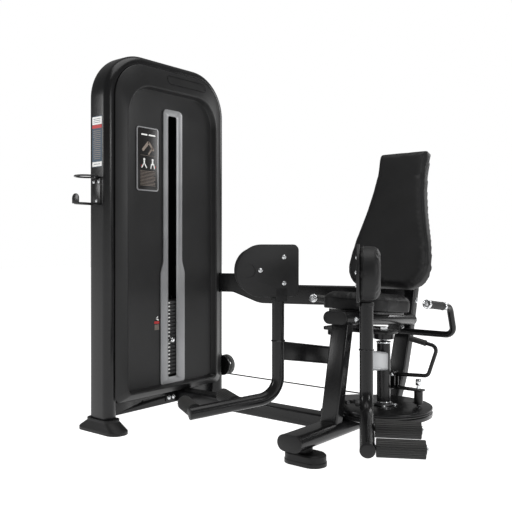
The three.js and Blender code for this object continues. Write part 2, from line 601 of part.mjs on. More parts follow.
// The back cushion is widest near the seat and narrows in a long curve to the shoulders.
function backOutline(inset) {
  const [low, high] = [inset, BACK.height - inset];
  const wide = 184 - inset;
  const top = 110 - inset;
  const shape = new THREE.Shape();
  shape.moveTo(wide - 92, low);
  shape.bezierCurveTo(wide - 30, low, wide, low + 32, wide, low + 92);
  shape.bezierCurveTo(wide, low + 200, top + 10, low + 320, top, high - 26);
  shape.quadraticCurveTo(top, high, top - 26, high);
  shape.lineTo(26 - top, high);
  shape.quadraticCurveTo(-top, high, -top, high - 26);
  shape.bezierCurveTo(-top - 10, low + 320, -wide, low + 200, -wide, low + 92);
  shape.bezierCurveTo(-wide, low + 32, 30 - wide, low, 92 - wide, low);
  return shape;
}
const standUp = (geometry, y) => solid(geometry).rotate([90, 0, 0]).translate([0, y, 0]);
const backCushion = standUp(plate(backOutline(0), BACK.thickness, 5, 9), BACK.thickness);
add('back_cushion', backCushion, UPHOLSTERY, backGroup);
add('back_plate', standUp(plate(backOutline(18), 8, 6), BACK.thickness + 8 + 4 * GAP), BLACK_PLASTIC, backGroup);

// ---- handlebar ----------------------------------------------------------------------------------

const barFront = V(GRIP.x, 408, 523);
const barBend = V(GRIP.x, 604, 500);
const barCross = V(GRIP.x, 645, 388);
const flip = (v) => V(-v.x, v.y, v.z);
const barAlong = barBend.clone().sub(barFront).normalize();

function handlebar() {
  const radius = 40;
  const section = circle(GRIP.tube);
  const halves = [1, -1].map((side) => {
    const mirror = side > 0 ? (v) => v : flip;
    const upper = [barFront.clone().addScaledVector(barAlong, 8), barBend, barBend.clone().lerp(barCross, 0.55)];
    const sideTube = tube(section, upper.map(mirror), radius, X, 6, 3);
    const lower = [barBend.clone().lerp(barCross, 0.5), barCross, V(0, barCross.y, barCross.z)];
    const plane = lower[0].clone().sub(lower[1]).cross(lower[2].clone().sub(lower[1])).normalize();
    const lowTube = tube(section, lower.map(mirror), radius, side > 0 ? plane : flip(plane), 6, 3);
    return joined(sideTube, lowTube);
  });
  const saddle = cut(block(-28, 28, 625, 665, 380, 425), seatRail(GAP));
  return joined(...halves, saddle, ...gripCollars());
}

// A steel collar behind each grip stops it from sliding along the bar.
function gripCollars() {
  return [(v) => v, flip].map((place) => {
    const at = (distance) => place(barFront.clone().addScaledVector(barAlong, distance));
    return bar(16.5, at(12.5 + GRIP.length), at(26 + GRIP.length), 20);
  });
}
add('handlebar', handlebar(), BLACK_STEEL);

[['left', 1], ['right', -1]].forEach(([name, side]) => {
  const place = side > 0 ? (v) => v : flip;
  const at = (distance) => place(barFront.clone().addScaledVector(barAlong, distance));
  const sleeve = cut(bar(GRIP.radius, at(12), at(12 + GRIP.length), 20), bar(GRIP.tube + GAP, at(0), at(150), 20));
  add(`${name}_grip`, sleeve, RUBBER);
  add(`${name}_grip_cap`, bar(17, at(-4), at(8 - GAP), 20), CHROME);
});

// ---- swing arms ---------------------------------------------------------------------------------

const splay = rad(SPLAY);
const forward = V(Math.sin(splay), -Math.cos(splay), 0);
const outward = V(Math.cos(splay), Math.sin(splay), 0);

// Everything of one arm is drawn for the +X side and mirrored for the other.
const mirrored = (body, side) => (side > 0 ? body : body.mirror([1, 0, 0]));

function pivotTube() {
  const pipe = bar(PIVOT.tube, V(PIVOT.x, PIVOT.y, PIVOT.low + GAP), V(PIVOT.x, PIVOT.y, PIVOT.shoulder), 24);
  const neck = bar(PIVOT.neck, V(PIVOT.x, PIVOT.y, PIVOT.shoulder - 5), V(PIVOT.x, PIVOT.y, PIVOT.top), 16);
  return joined(pipe, neck);
}

function armTube() {
  const low = V(ARM.x, ARM.y, 187);
  const end = V(ARM.endX, ARM.endY, ARM.endZ);
  const along = end.clone().sub(low).normalize();
  const plane = V(0, 0, -1).cross(along).normalize();
  const pipe = tube(circle(ARM.radius), [V(ARM.x, ARM.y, ARM.top), low, end], ARM.bend, plane, 8, 6);
  const pegs = pegSpots(along, end).map((spot) => bar(ROLLER.axle, spot,
    spot.clone().addScaledVector(outward, ARM.radius + ROLLER.length + 3), 12));
  return joined(pipe, ...pegs);
}

function pegSpots(along, end) {
  return [24, 24 + ROLLER.spacing].map((back) => end.clone().addScaledVector(along, -back));
}

function armLink() {
  const from = V(PIVOT.x, PIVOT.y, ARM_LINK.pivotZ);
  const to = V(ARM.x, ARM.y, ARM_LINK.armZ);
  const side = V(to.y - from.y, from.x - to.x, 0).normalize();
  const link = tube(rounded(ARM_LINK.height, ARM_LINK.width, 8), [from, to], 1, side, 2);
  const pivotClear = bar(PIVOT.tube + GAP, V(PIVOT.x, PIVOT.y, 200), V(PIVOT.x, PIVOT.y, 400), 24);
  const armClear = bar(ARM.radius + GAP, V(ARM.x, ARM.y, 200), V(ARM.x, ARM.y, 500), 24);
  return largest(cut(link, pivotClear, armClear));
}

// D-shaped pad: half round in front, squared at the back. Drawn with x to the rear and y up.
function padOutline(inset) {
  const radius = PAD.height / 2 - inset;
  const [rear, middle] = [PAD.behind - inset, PAD.behind + PAD.height / 2 - PAD.length];
  const corner = 22;
  const shape = new THREE.Shape();
  shape.absarc(rear - corner, radius - corner, corner, 0, Math.PI / 2, false);
  shape.absarc(middle, 0, radius, Math.PI / 2, Math.PI * 1.5, false);
  shape.absarc(rear - corner, corner - radius, corner, Math.PI * 1.5, Math.PI * 2, false);
  return shape;
}

const padMiddle = PAD.low + PAD.height / 2;
const padFrame = new THREE.Matrix4().makeBasis(forward.clone().negate(), Z, outward)
  .setPosition(V(ARM.x, ARM.y, padMiddle).addScaledVector(outward, -PAD.inward));
const placed = (geometry, offset) => solid(geometry.translate(0, 0, offset).applyMatrix4(padFrame));

// The plate hangs on the inner side of the arm tube, so the pad as a whole stands over the tube.
function padPlate() {
  const board = placed(plate(padOutline(0), PAD.plate, 5, 1.5), -PAD.plate / 2);
  const neck = placed(plate(rounded(44, 60, 3), PAD.plate, 2).translate(0, -PAD.height / 2, 0), -PAD.plate / 2);
  const collar = bar(25, V(ARM.x, ARM.y, ARM.top + GAP), V(ARM.x, ARM.y, ARM.top + 14), 20);
  const under = bar(40, V(ARM.x, ARM.y, 480), V(ARM.x, ARM.y, ARM.top + GAP), 16);
  return cut(joined(board, neck, collar), under);
}

function padCushion() {
  return placed(plate(padOutline(3), PAD.thickness, 5, 9), PAD.plate / 2 + 2 * GAP);
}

function roller(index) {
  const low = V(ARM.x, ARM.y, 187);
  const end = V(ARM.endX, ARM.endY, ARM.endZ);
  const spot = pegSpots(end.clone().sub(low).normalize(), end)[index];
  const start = spot.clone().addScaledVector(outward, ARM.radius + 1.5);
  const [r, bore, length] = [ROLLER.radius, ROLLER.bore, ROLLER.length];
  const profile = [[bore, 0], [r - 3, 0], [r, 3], [r, length - 3], [r - 3, length], [bore, length], [bore, 0]];
  return turned(profile, outward, start, 16);
}

// The cam is a disc whose rim carries the lift cable; its top face has the row of range holes.
function liftCam() {
  const [low, high] = [CAM.low, CAM.high];
  const mid = (low + high) / 2 + 5;
  const profile = [[0, low], [CAM.radius - 8, low], [CAM.radius, low + 5], [CAM.radius, mid - 6],
    [CAM.groove - CABLE_R - 0.5, mid - 2], [CAM.groove - CABLE_R - 0.5, mid + 2],
    [CAM.radius, mid + 6], [CAM.radius, high - 2], [CAM.radius - 2, high], [0, high]];
  const disc = turned(profile, Z, V(PIVOT.x, PIVOT.y, 0), 32);
  const holes = [];
  for (let i = -2; i <= 2; i += 1) {
    const angle = Math.atan2(PLUNGER.y - PIVOT.y, PLUNGER.x - PIVOT.x) + rad(14 * i);
    const reach = Math.hypot(PLUNGER.x - PIVOT.x, PLUNGER.y - PIVOT.y);
    const at = V(PIVOT.x + reach * Math.cos(angle), PIVOT.y + reach * Math.sin(angle), high);
    holes.push(bar(8, at.clone().setZ(high - 14), at.clone().setZ(high + 1), 8));
  }
  const shaft = bar(PIVOT.neck + 0.8, V(PIVOT.x, PIVOT.y, low - 1), V(PIVOT.x, PIVOT.y, high + 1), 16);
  return cut(disc, shaft, ...holes);
}

// Timing gear sectors keep the two arms turning by the same angle in opposite directions.
function timingGear(side) {
  const { pitch, teeth, low, high, addendum, dedendum } = GEAR;
  const tooth = (Math.PI * 2) / teeth;
  const half = side > 0 ? 3.5 : 4;
  const shape = new THREE.Shape();
  shape.absarc(0, 0, 34, tooth * 4.6, Math.PI * 2 - tooth * 4.6, false);
  for (let i = -half; i <= half; i += 1) {
    const middle = i * tooth;
    const corner = (radius, share) => {
      const angle = middle + tooth * share;
      shape.lineTo(radius * Math.cos(angle), radius * Math.sin(angle));
    };
    corner(pitch - dedendum, -0.33);
    corner(pitch + addendum, -0.1);
    corner(pitch + addendum, 0.1);
    corner(pitch - dedendum, 0.33);
  }
  const gear = solid(plate(shape, high - low, 5).translate(0, 0, low));
  const bore = bar(PIVOT.neck + 0.8, V(0, 0, low - 1), V(0, 0, high + 1), 16);
  const facing = side > 0 ? 180 : 0;
  return cut(gear, bore).rotate([0, 0, facing]).translate([side * PIVOT.x, PIVOT.y, 0]);
}

// A bearing hub under one gear, where the other one has the cam.
function gearHub() {
  const profile = [[PIVOT.neck + 0.8, CAM.low], [22, CAM.low], [22, GEAR.low + 1], [PIVOT.neck + 0.8, GEAR.low + 1],
    [PIVOT.neck + 0.8, CAM.low]];
  return turned(profile, Z, V(PIVOT.x, PIVOT.y, 0), 20);
}

// Bearing block beside the main beam, with the fixed spindle standing in it.
function pivotBase() {
  const ear = tube(rounded(46, 84, 8), [V(20, PIVOT.y, 83), V(PIVOT.x + 50, PIVOT.y, 83)], 1, Y, 1);
  const spindle = bar(PIVOT.neck, V(PIVOT.x, PIVOT.y, 90), V(PIVOT.x, PIVOT.y, PIVOT.low - GAP), 16);
  return joined(ear, spindle);
}

function topBearing() {
  const ring = bar(37.5, V(PIVOT.x, PIVOT.y, 392), V(PIVOT.x, PIVOT.y, PIVOT.top + 1), 20);
  const bore = bar(PIVOT.neck + 0.8, V(PIVOT.x, PIVOT.y, 380), V(PIVOT.x, PIVOT.y, 420), 16);
  return cut(ring, bore);
}

for (const [name, side] of [['left', 1], ['right', -1]]) {
  add(`${name}_arm_link`, mirrored(armLink(), side), side > 0 ? SILVER : BLACK_STEEL);
  add(`${name}_arm_tube`, mirrored(armTube(), side), BLACK_STEEL);
  add(`${name}_pad_plate`, mirrored(padPlate(), side), BLACK_PLASTIC);
  add(`${name}_pad_cushion`, mirrored(padCushion(), side), UPHOLSTERY);
  add(`${name}_front_roller`, mirrored(roller(0), side), RUBBER);
  add(`${name}_rear_roller`, mirrored(roller(1), side), RUBBER);
}
add('left_timing_gear', timingGear(1), STACK_STEEL);
add('right_timing_gear', joined(timingGear(-1), gearHub().mirror([1, 0, 0])), STACK_STEEL);
add('lift_cam', liftCam(), BLACK_STEEL);
add('left_pivot_tube', joined(pivotTube(), rangeBracket()), BLACK_STEEL);
add('right_pivot_tube', mirrored(pivotTube(), -1), BLACK_STEEL);

// Plate under the seat rail that holds both top bearings.
const bearingPlate = cut(joined(
  solid(plate(rounded(290, 84, 20), 12, 2)).translate([0, PIVOT.y, PIVOT.top + 0.6]),
  block(-34, 34, PIVOT.y - 36, PIVOT.y + 36, PIVOT.top + 5, 465)), seatRail(GAP));
add('top_bearing_plate', joined(bearingPlate, topBearing(), topBearing().mirror([1, 0, 0])), BLACK_STEEL);

// ---- range lever on the +X arm ------------------------------------------------------------------

function rangeBracket() {
  const shelf = block(PIVOT.x - 10, PLUNGER.x + 20, PLUNGER.y - 18, PLUNGER.y + 18, 205, 211);
  const web = block(PIVOT.x - 10, PIVOT.x + 24, PIVOT.y, PLUNGER.y + 18, 205, 211);
  const ears = [-1, 1].map((s) => block(LEVER.x - 11, LEVER.x + 11,
    PLUNGER.y + s * 14 - 2.5, PLUNGER.y + s * 14 + 2.5, 208, 268));
  const pinHole = bar(4.6, V(LEVER.x, PLUNGER.y - 30, LEVER.z), V(LEVER.x, PLUNGER.y + 30, LEVER.z), 12);
  const housing = bar(PLUNGER.body, V(PLUNGER.x, PLUNGER.y, 158), V(PLUNGER.x, PLUNGER.y, 206), 20);
  const bore = bar(PLUNGER.pin + 0.7, V(PLUNGER.x, PLUNGER.y, 150), V(PLUNGER.x, PLUNGER.y, 220), 14);
  return cut(joined(shelf, web, ...ears, housing), bore, pinHole);
}

function rangePlunger() {
  const rod = bar(PLUNGER.pin, V(PLUNGER.x, PLUNGER.y, CAM.high - 10), V(PLUNGER.x, PLUNGER.y, 230), 14);
  const head = bar(PLUNGER.radius, V(PLUNGER.x, PLUNGER.y, 226), V(PLUNGER.x, PLUNGER.y, 248), 18);
  return joined(rod, head);
}
add('range_plunger', rangePlunger(), CHROME);

const leverEnd = V(181, PLUNGER.y, 393);
const leverRoute = [V(LEVER.x, PLUNGER.y, LEVER.z), V(249, PLUNGER.y, 264), V(286, PLUNGER.y, 372), leverEnd];

function rangeLever() {
  const rod = tube(circle(LEVER.rod), leverRoute, 20, Y, 5, 3);
  const hub = bar(10, V(LEVER.x, PLUNGER.y - 11, LEVER.z), V(LEVER.x, PLUNGER.y + 11, LEVER.z), 16);
  const pin = bar(4, V(LEVER.x, PLUNGER.y - 20, LEVER.z), V(LEVER.x, PLUNGER.y + 20, LEVER.z), 12);
  return joined(rod, hub, pin);
}
add('range_lever', rangeLever(), BLACK_STEEL);

function leverGrip() {
  const along = leverRoute[2].clone().sub(leverEnd).normalize();
  const start = leverEnd.clone().addScaledVector(along, -4);
  const sleeve = bar(11, start, leverEnd.clone().addScaledVector(along, 62), 18);
  const hole = bar(LEVER.rod + GAP, leverEnd.clone().addScaledVector(along, -GAP), leverEnd.clone().addScaledVector(along, 80), 18);
  return cut(sleeve, hole);
}
add('range_lever_grip', leverGrip(), RUBBER);

export default machine;
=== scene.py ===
# Seated thigh machine with a shrouded weight tower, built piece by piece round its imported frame.
# Metres, +Z up. The user faces -Y, the tower stands at -X, and the arms are in their wide start position.
import math

import bpy
from mathutils import Matrix, Vector


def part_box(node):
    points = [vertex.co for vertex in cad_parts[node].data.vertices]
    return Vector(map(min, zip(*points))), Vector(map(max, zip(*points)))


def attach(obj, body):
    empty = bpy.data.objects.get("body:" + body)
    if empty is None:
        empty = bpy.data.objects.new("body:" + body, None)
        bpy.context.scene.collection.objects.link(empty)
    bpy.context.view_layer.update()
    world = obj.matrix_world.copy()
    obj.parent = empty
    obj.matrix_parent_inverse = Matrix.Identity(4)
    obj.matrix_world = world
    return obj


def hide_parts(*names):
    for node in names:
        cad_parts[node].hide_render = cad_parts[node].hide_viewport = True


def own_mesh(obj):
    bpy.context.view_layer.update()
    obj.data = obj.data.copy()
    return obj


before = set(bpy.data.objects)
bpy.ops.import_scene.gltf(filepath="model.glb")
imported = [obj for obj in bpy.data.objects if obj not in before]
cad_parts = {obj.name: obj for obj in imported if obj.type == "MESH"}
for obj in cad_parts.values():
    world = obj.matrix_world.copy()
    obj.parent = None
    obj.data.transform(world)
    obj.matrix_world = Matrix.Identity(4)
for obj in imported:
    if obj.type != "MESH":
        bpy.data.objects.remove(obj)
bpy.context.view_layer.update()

# ---- studio -------------------------------------------------------------------------------------
# A pale, faintly glowing floor under soft boxes, in a room that is white to look at and dimmer as a
# light. The camera stands off the front left corner of the seat, at
# about the height of the backrest, and looks level at the machine.

def deselect():
    if bpy.context.object and bpy.context.object.mode == "EDIT":
        bpy.ops.object.mode_set(mode="OBJECT")
    bpy.ops.object.select_all(action="DESELECT")


deselect()
bpy.ops.object.camera_add(location=(1.355, -1.938, 0.725), rotation=(math.pi / 2, 0, math.radians(39)))
camera = bpy.context.object
camera.data.lens = 49.2
camera.data.shift_y = -0.0156
bpy.context.scene.camera = camera

seat_centre = Vector((-0.25, 0.25, 0.7))
for place, size, power in (
    ((0.2, 0.1, 4.2), 3.0, 70),
    ((2.9, -0.2, 1.5), 0.9, 24),
    ((-2.7, -2.6, 1.6), 0.9, 22),
    ((0.6, 3.4, 2.0), 1.4, 24),
):
    aim = (seat_centre - Vector(place)).to_track_quat("-Z", "Y").to_euler()
    bpy.ops.object.light_add(type="AREA", location=place, rotation=aim)
    lamp = bpy.context.object.data
    lamp.shape, lamp.size, lamp.energy = "SQUARE", size, power

bpy.context.scene.view_settings.view_transform = "Standard"
world = bpy.data.worlds.new("Soft white room")
bpy.context.scene.world = world
world.use_nodes = True
room = world.node_tree
room.nodes["Background"].inputs["Color"].default_value = (1, 1, 1, 1)
room.nodes["Background"].inputs["Strength"].default_value = 0.22
backdrop = room.nodes.new("ShaderNodeBackground")
backdrop.inputs["Color"].default_value = (1, 1, 1, 1)
seen = room.nodes.new("ShaderNodeLightPath")
choice = room.nodes.new("ShaderNodeMixShader")
room.links.new(seen.outputs["Is Camera Ray"], choice.inputs[0])
room.links.new(room.nodes["Background"].outputs[0], choice.inputs[1])
room.links.new(backdrop.outputs[0], choice.inputs[2])
room.links.new(choice.outputs[0], room.nodes["World Output"].inputs["Surface"])

bpy.ops.mesh.primitive_plane_add(size=40, location=(0, 0, -0.0002))
floor = bpy.context.object
floor.name = "studio_floor"
floor_paint = bpy.data.materials.new("Pale floor")
floor_paint.use_nodes = True
floor_paint.node_tree.nodes["Principled BSDF"].inputs["Base Color"].default_value = (0.6, 0.6, 0.6, 1)
floor_paint.node_tree.nodes["Principled BSDF"].inputs["Roughness"].default_value = 0.7
floor_paint.node_tree.nodes["Principled BSDF"].inputs["Emission Color"].default_value = (1, 1, 1, 1)
floor_paint.node_tree.nodes["Principled BSDF"].inputs["Emission Strength"].default_value = 1.0
floor.data.materials.append(floor_paint)

# ---- tower hoop ---------------------------------------------------------------------------------
# One length of flat oval steel tube, bent into an upside down U and powder coated black.
# The rear post has a window for the crossing pulley.

def group_tree(name, numbers, outputs):
    """A shader node group with number inputs, its tree, and its end sockets."""
    tree = bpy.data.node_groups.new(name, "ShaderNodeTree")
    for label, value in numbers.items():
        socket = tree.interface.new_socket(label, in_out="INPUT", socket_type="NodeSocketFloat")
        socket.default_value = value
    for label in outputs:
        tree.interface.new_socket(label, in_out="OUTPUT", socket_type="NodeSocketFloat")
    return tree, tree.nodes.new("NodeGroupInput").outputs, tree.nodes.new("NodeGroupOutput").inputs


def node(tree, kind, feeds=None, **settings):
    """A new node with its settings made and its inputs fed by sockets or by plain values."""
    made = tree.nodes.new(kind)
    for key, value in settings.items():
        setattr(made, key, value)
    for key, source in (feeds or {}).items():
        if isinstance(source, bpy.types.NodeSocket):
            tree.links.new(source, made.inputs[key])
        else:
            made.inputs[key].default_value = source
    return made


# Grain: the fine pimples of powder coat and moulded plastic, and a slow change of tone over the piece.
grain, given, result = group_tree("Grain", {"Scale": 1400.0, "Tone Scale": 6.0}, ("Height", "Tone"))
where = node(grain, "ShaderNodeTexCoord").outputs["Object"]
pimples = node(grain, "ShaderNodeTexNoise", {"Vector": where, "Scale": given["Scale"], "Detail": 2.0})
clouds = node(grain, "ShaderNodeTexNoise", {"Vector": where, "Scale": given["Tone Scale"], "Detail": 4.0})
grain.links.new(pimples.outputs["Fac"], result["Height"])
grain.links.new(clouds.outputs["Fac"], result["Tone"])

# Edge wear: a broken line of rubbed finish where two faces meet.
edge_wear, given, result = group_tree("Edge wear", {"Amount": 0.5, "Scale": 60.0}, ("Mask",))
shape_normal = node(edge_wear, "ShaderNodeNewGeometry").outputs["Normal"]
round_normal = node(edge_wear, "ShaderNodeBevel", {"Radius": 0.0016}, samples=4).outputs["Normal"]
dot = node(edge_wear, "ShaderNodeVectorMath", {0: shape_normal, 1: round_normal}, operation="DOT_PRODUCT")
edge = node(edge_wear, "ShaderNodeMapRange",
            {"Value": dot.outputs["Value"], "From Min": 0.995, "From Max": 0.9})
where = node(edge_wear, "ShaderNodeTexCoord").outputs["Object"]
patches = node(edge_wear, "ShaderNodeTexNoise", {"Vector": where, "Scale": given["Scale"], "Detail": 5.0})
broken = node(edge_wear, "ShaderNodeMapRange",
              {"Value": patches.outputs["Fac"], "From Min": 0.45, "From Max": 0.7})
rubbed = node(edge_wear, "ShaderNodeMath", {0: edge.outputs[0], 1: broken.outputs[0]}, operation="MULTIPLY")
share = node(edge_wear, "ShaderNodeMath", {0: rubbed.outputs[0], 1: given["Amount"]}, operation="MULTIPLY")
edge_wear.links.new(share.outputs[0], result["Mask"])

# Dust: a thin film that settles on faces that look upward.
dust, given, result = group_tree("Dust", {"Amount": 0.2, "Scale": 25.0}, ("Mask",))
facing = node(dust, "ShaderNodeSeparateXYZ", {0: node(dust, "ShaderNodeNewGeometry").outputs["Normal"]})
upward = node(dust, "ShaderNodeMapRange", {"Value": facing.outputs["Z"], "From Min": 0.4, "From Max": 1.0})
where = node(dust, "ShaderNodeTexCoord").outputs["Object"]
drift = node(dust, "ShaderNodeTexNoise", {"Vector": where, "Scale": given["Scale"], "Detail": 6.0})
film = node(dust, "ShaderNodeMath", {0: upward.outputs[0], 1: drift.outputs["Fac"]}, operation="MULTIPLY")
share = node(dust, "ShaderNodeMath", {0: film.outputs[0], 1: given["Amount"]}, operation="MULTIPLY")
dust.links.new(share.outputs[0], result["Mask"])


def mixed(tree, mask, base, over):
    """The colour base with the colour over laid on it where the mask is."""
    blend = node(tree, "ShaderNodeMix", data_type="RGBA")
    tree.links.new(mask, blend.inputs["Factor"])
    for socket, source in ((blend.inputs[6], base), (blend.inputs[7], over)):
        if isinstance(source, bpy.types.NodeSocket):
            tree.links.new(source, socket)
        else:
            socket.default_value = (*source, 1)
    return blend.outputs[2]


def finish(name, dark, light, rough, metal=0.0, pimple=1400.0, relief=0.05, worn=None, wear=0.5, dusty=0.15,
           gleam=0.5):
    """A surface finish: tone drifts from dark to light, edges show worn, upward faces hold dust."""
    material = bpy.data.materials.new(name)
    material.use_nodes = True
    tree = material.node_tree
    shader = tree.nodes["Principled BSDF"]
    shader.inputs["Metallic"].default_value = metal
    shader.inputs["Specular IOR Level"].default_value = gleam
    surface = node(tree, "ShaderNodeGroup", node_tree=grain)
    surface.inputs["Scale"].default_value = pimple
    tone = node(tree, "ShaderNodeMapRange",
                {"Value": surface.outputs["Tone"], "From Min": 0.35, "From Max": 0.65})
    colour = mixed(tree, tone.outputs[0], dark, light)
    if worn:
        wear_node = node(tree, "ShaderNodeGroup", node_tree=edge_wear)
        wear_node.inputs["Amount"].default_value = wear
        colour = mixed(tree, wear_node.outputs["Mask"], colour, worn)
    if dusty:
        dust_node = node(tree, "ShaderNodeGroup", node_tree=dust)
        dust_node.inputs["Amount"].default_value = dusty
        colour = mixed(tree, dust_node.outputs["Mask"], colour, (0.35, 0.34, 0.32))
    tree.links.new(colour, shader.inputs["Base Color"])
    gloss = node(tree, "ShaderNodeMapRange",
                 {"Value": surface.outputs["Tone"], "To Min": rough[0], "To Max": rough[1]})
    tree.links.new(gloss.outputs[0], shader.inputs["Roughness"])
    bump = node(tree, "ShaderNodeBump",
                {"Height": surface.outputs["Height"], "Strength": relief, "Distance": 0.0006})
    tree.links.new(bump.outputs["Normal"], shader.inputs["Normal"])
    return material


powder_coat = finish("Black powder coat", (0.005, 0.005, 0.0053), (0.0075, 0.0075, 0.008), (0.2, 0.3),
                     pimple=1100, relief=0.12, worn=(0.07, 0.07, 0.072), wear=0.5, dusty=0.02, gleam=0.32)


def rounded_face(width, height, radius, segments=8):
    """A flat face in the floor plane with four rounded corners, left in edit mode."""
    deselect()
    bpy.ops.mesh.primitive_plane_add(size=1)
    bpy.ops.object.mode_set(mode="EDIT")
    bpy.ops.transform.resize(value=(width, height, 1))
    bpy.ops.mesh.bevel(offset=min(radius, 0.4999 * min(width, height)), segments=segments,
                       affect="VERTICES")
    bpy.ops.mesh.remove_doubles(threshold=1e-5)


def stand(origin, x_axis, y_axis):
    """Places the piece: its own x and y lie along the two directions, from the origin."""
    bpy.ops.object.mode_set(mode="OBJECT")
    piece = bpy.context.object
    x, y = Vector(x_axis).normalized(), Vector(y_axis).normalized()
    turn = Matrix((x, y, x.cross(y))).transposed().to_4x4()
    piece.matrix_world = Matrix.Translation(origin) @ turn
    bpy.ops.object.transform_apply(location=True, rotation=True, scale=True)
    return piece


def lengthen(step, shrink=None):
    """Extrudes what is selected by a step, and may make the new end smaller about its own middle."""
    bpy.ops.mesh.extrude_region_move(TRANSFORM_OT_translate={"value": step})
    if shrink:
        bpy.ops.transform.resize(value=shrink)


def outward_faces():
    bpy.ops.mesh.select_all(action="SELECT")
    bpy.ops.mesh.normals_make_consistent(inside=False)
    bpy.ops.object.mode_set(mode="OBJECT")


def bent_tube(name, section, route, side, bend=0.0, steps=10):
    """A tube with a (width, height, corner radius) section along a route, bent round at each corner."""
    points = [Vector(p) for p in route]
    side = Vector(side).normalized()
    ways = [(b - a).normalized() for a, b in zip(points, points[1:])]
    rounded_face(*section)
    piece = stand(points[0], side.cross(ways[0]), side)
    piece.name = name
    bpy.ops.object.mode_set(mode="EDIT")
    bpy.ops.mesh.select_all(action="SELECT")
    reached = points[0]
    for corner, before, after in zip(points[1:], ways, ways[1:]):
        angle = before.angle(after)
        reach = bend * math.tan(angle / 2)
        start = corner - before * reach
        lengthen(start - reached)
        axis = before.cross(after).normalized()
        bpy.ops.mesh.spin(steps=steps, angle=-angle, center=start + axis.cross(before) * bend, axis=axis)
        reached = corner + after * reach
    lengthen(points[-1] - reached)
    outward_faces()
    return piece


def soften(piece, width=0.0015, segments=2, angle=35):
    """Rounds the sharp edges a little and shades the rest smooth."""
    deselect()
    bpy.context.view_layer.objects.active = piece
    piece.select_set(True)
    bevel = piece.modifiers.new("Soft edges", "BEVEL")
    bevel.width, bevel.segments, bevel.limit_method = width, segments, "ANGLE"
    bevel.angle_limit = math.radians(angle)
    bpy.ops.object.modifier_apply(modifier=bevel.name)
    bpy.ops.object.shade_smooth_by_angle(angle=math.radians(40))
    return piece


def carve(piece, *cutters):
    """Cuts the shapes of the cutters out of the piece and removes the cutters."""
    for cutter in cutters:
        deselect()
        bpy.context.view_layer.objects.active = piece
        piece.select_set(True)
        hole = piece.modifiers.new("Cut", "BOOLEAN")
        hole.operation, hole.solver, hole.object = "DIFFERENCE", "EXACT", cutter
        bpy.ops.object.modifier_apply(modifier=hole.name)
        bpy.data.objects.remove(cutter)
    return piece


def twin(piece, name):
    """A copy of a piece with its own mesh."""
    deselect()
    piece.select_set(True)
    bpy.context.view_layer.objects.active = piece
    bpy.ops.object.duplicate()
    bpy.context.object.name = name
    return bpy.context.object


def one_piece(name, *parts):
    """Joins welded or stacked parts into one piece."""
    deselect()
    for part in parts:
        part.select_set(True)
    bpy.context.view_layer.objects.active = parts[0]
    bpy.ops.object.join()
    parts[0].name = name
    return parts[0]


def fit(piece, material, body, slot, *nodes):
    """Gives a finished piece its material, its body and the nodes that it stands for."""
    piece.data.materials.clear()
    piece.data.materials.append(material)
    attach(piece, body)
    if nodes:
        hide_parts(*nodes)
    return piece


def slab(name, width, height, radius, thickness, origin, x_axis, y_axis, edge=0.0015, segments=8):
    """A plate with rounded corners and softened edges, that grows from its origin along x cross y."""
    rounded_face(width, height, radius, segments)
    bpy.ops.mesh.select_all(action="SELECT")
    lengthen((0, 0, thickness))
    outward_faces()
    piece = stand(origin, x_axis, y_axis)
    piece.name = name
    return soften(piece, edge) if edge else piece


def turned(name, profile, origin, axis, sides=40, bored=False, edge=0.0):
    """A lathe part: (radius, height) pairs from one end to the other, round the axis from the origin.
    A bored part has a hole of the first radius, and its profile comes back to its start."""
    deselect()
    radius, height = profile[0]
    fill = "NOTHING" if bored else "NGON"
    bpy.ops.mesh.primitive_circle_add(vertices=sides, radius=radius, fill_type=fill,
                                      location=(0, 0, height))
    bpy.ops.object.transform_apply(location=True, rotation=True, scale=True)
    bpy.ops.object.mode_set(mode="EDIT")
    bpy.ops.mesh.select_mode(type="VERT")
    bpy.ops.mesh.select_all(action="SELECT")
    for next_radius, next_height in profile[1:]:
        bpy.ops.mesh.extrude_region_move(TRANSFORM_OT_translate={"value": (0, 0, next_height - height)})
        ratio = next_radius / radius
        bpy.ops.transform.resize(value=(ratio, ratio, 1), center_override=(0, 0, next_height))
        radius, height = next_radius, next_height
    if bored:
        bpy.ops.mesh.select_all(action="SELECT")
        bpy.ops.mesh.remove_doubles(threshold=1e-5)
    outward_faces()
    axis = Vector(axis).normalized()
    across = axis.orthogonal().normalized()
    piece = stand(origin, across, axis.cross(across))
    piece.name = name
    if edge:
        return soften(piece, edge)
    bpy.ops.object.shade_smooth_by_angle(angle=math.radians(40))
    return piece


X, Y, Z = Vector((1, 0, 0)), Vector((0, 1, 0)), Vector((0, 0, 1))

tower_x = -0.863
hoop_tube = (0.060, 0.120, 0.030)
hoop_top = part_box("tower_hoop")[1].z
hoop_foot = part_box("tower_hoop")[0].z
front_post_y, rear_post_y = -0.162, 0.465
rail_z = hoop_top - hoop_tube[0] / 2
hoop = bent_tube("tower_hoop_tube", hoop_tube, [
    (tower_x, front_post_y, hoop_foot), (tower_x, front_post_y, rail_z),
    (tower_x, rear_post_y, rail_z), (tower_x, rear_post_y, hoop_foot)], X, bend=0.160, steps=20)
crossing_z = 0.262
window = slab("window", 0.040, 0.116, 0.019, 0.10, (tower_x, rear_post_y + 0.05, crossing_z), X, Z, edge=0)
carve(hoop, window)
soften(hoop, 0.0012)
fit(hoop, powder_coat, "frame", "powder_black", "tower_hoop")

# ---- pulley forks and rod tie -------------------------------------------------------------------
# Laser cut brackets welded inside the hoop: two hang under the top rail, one reaches forward from
# the rear post, and a tie plate holds the tops of the guide rods.

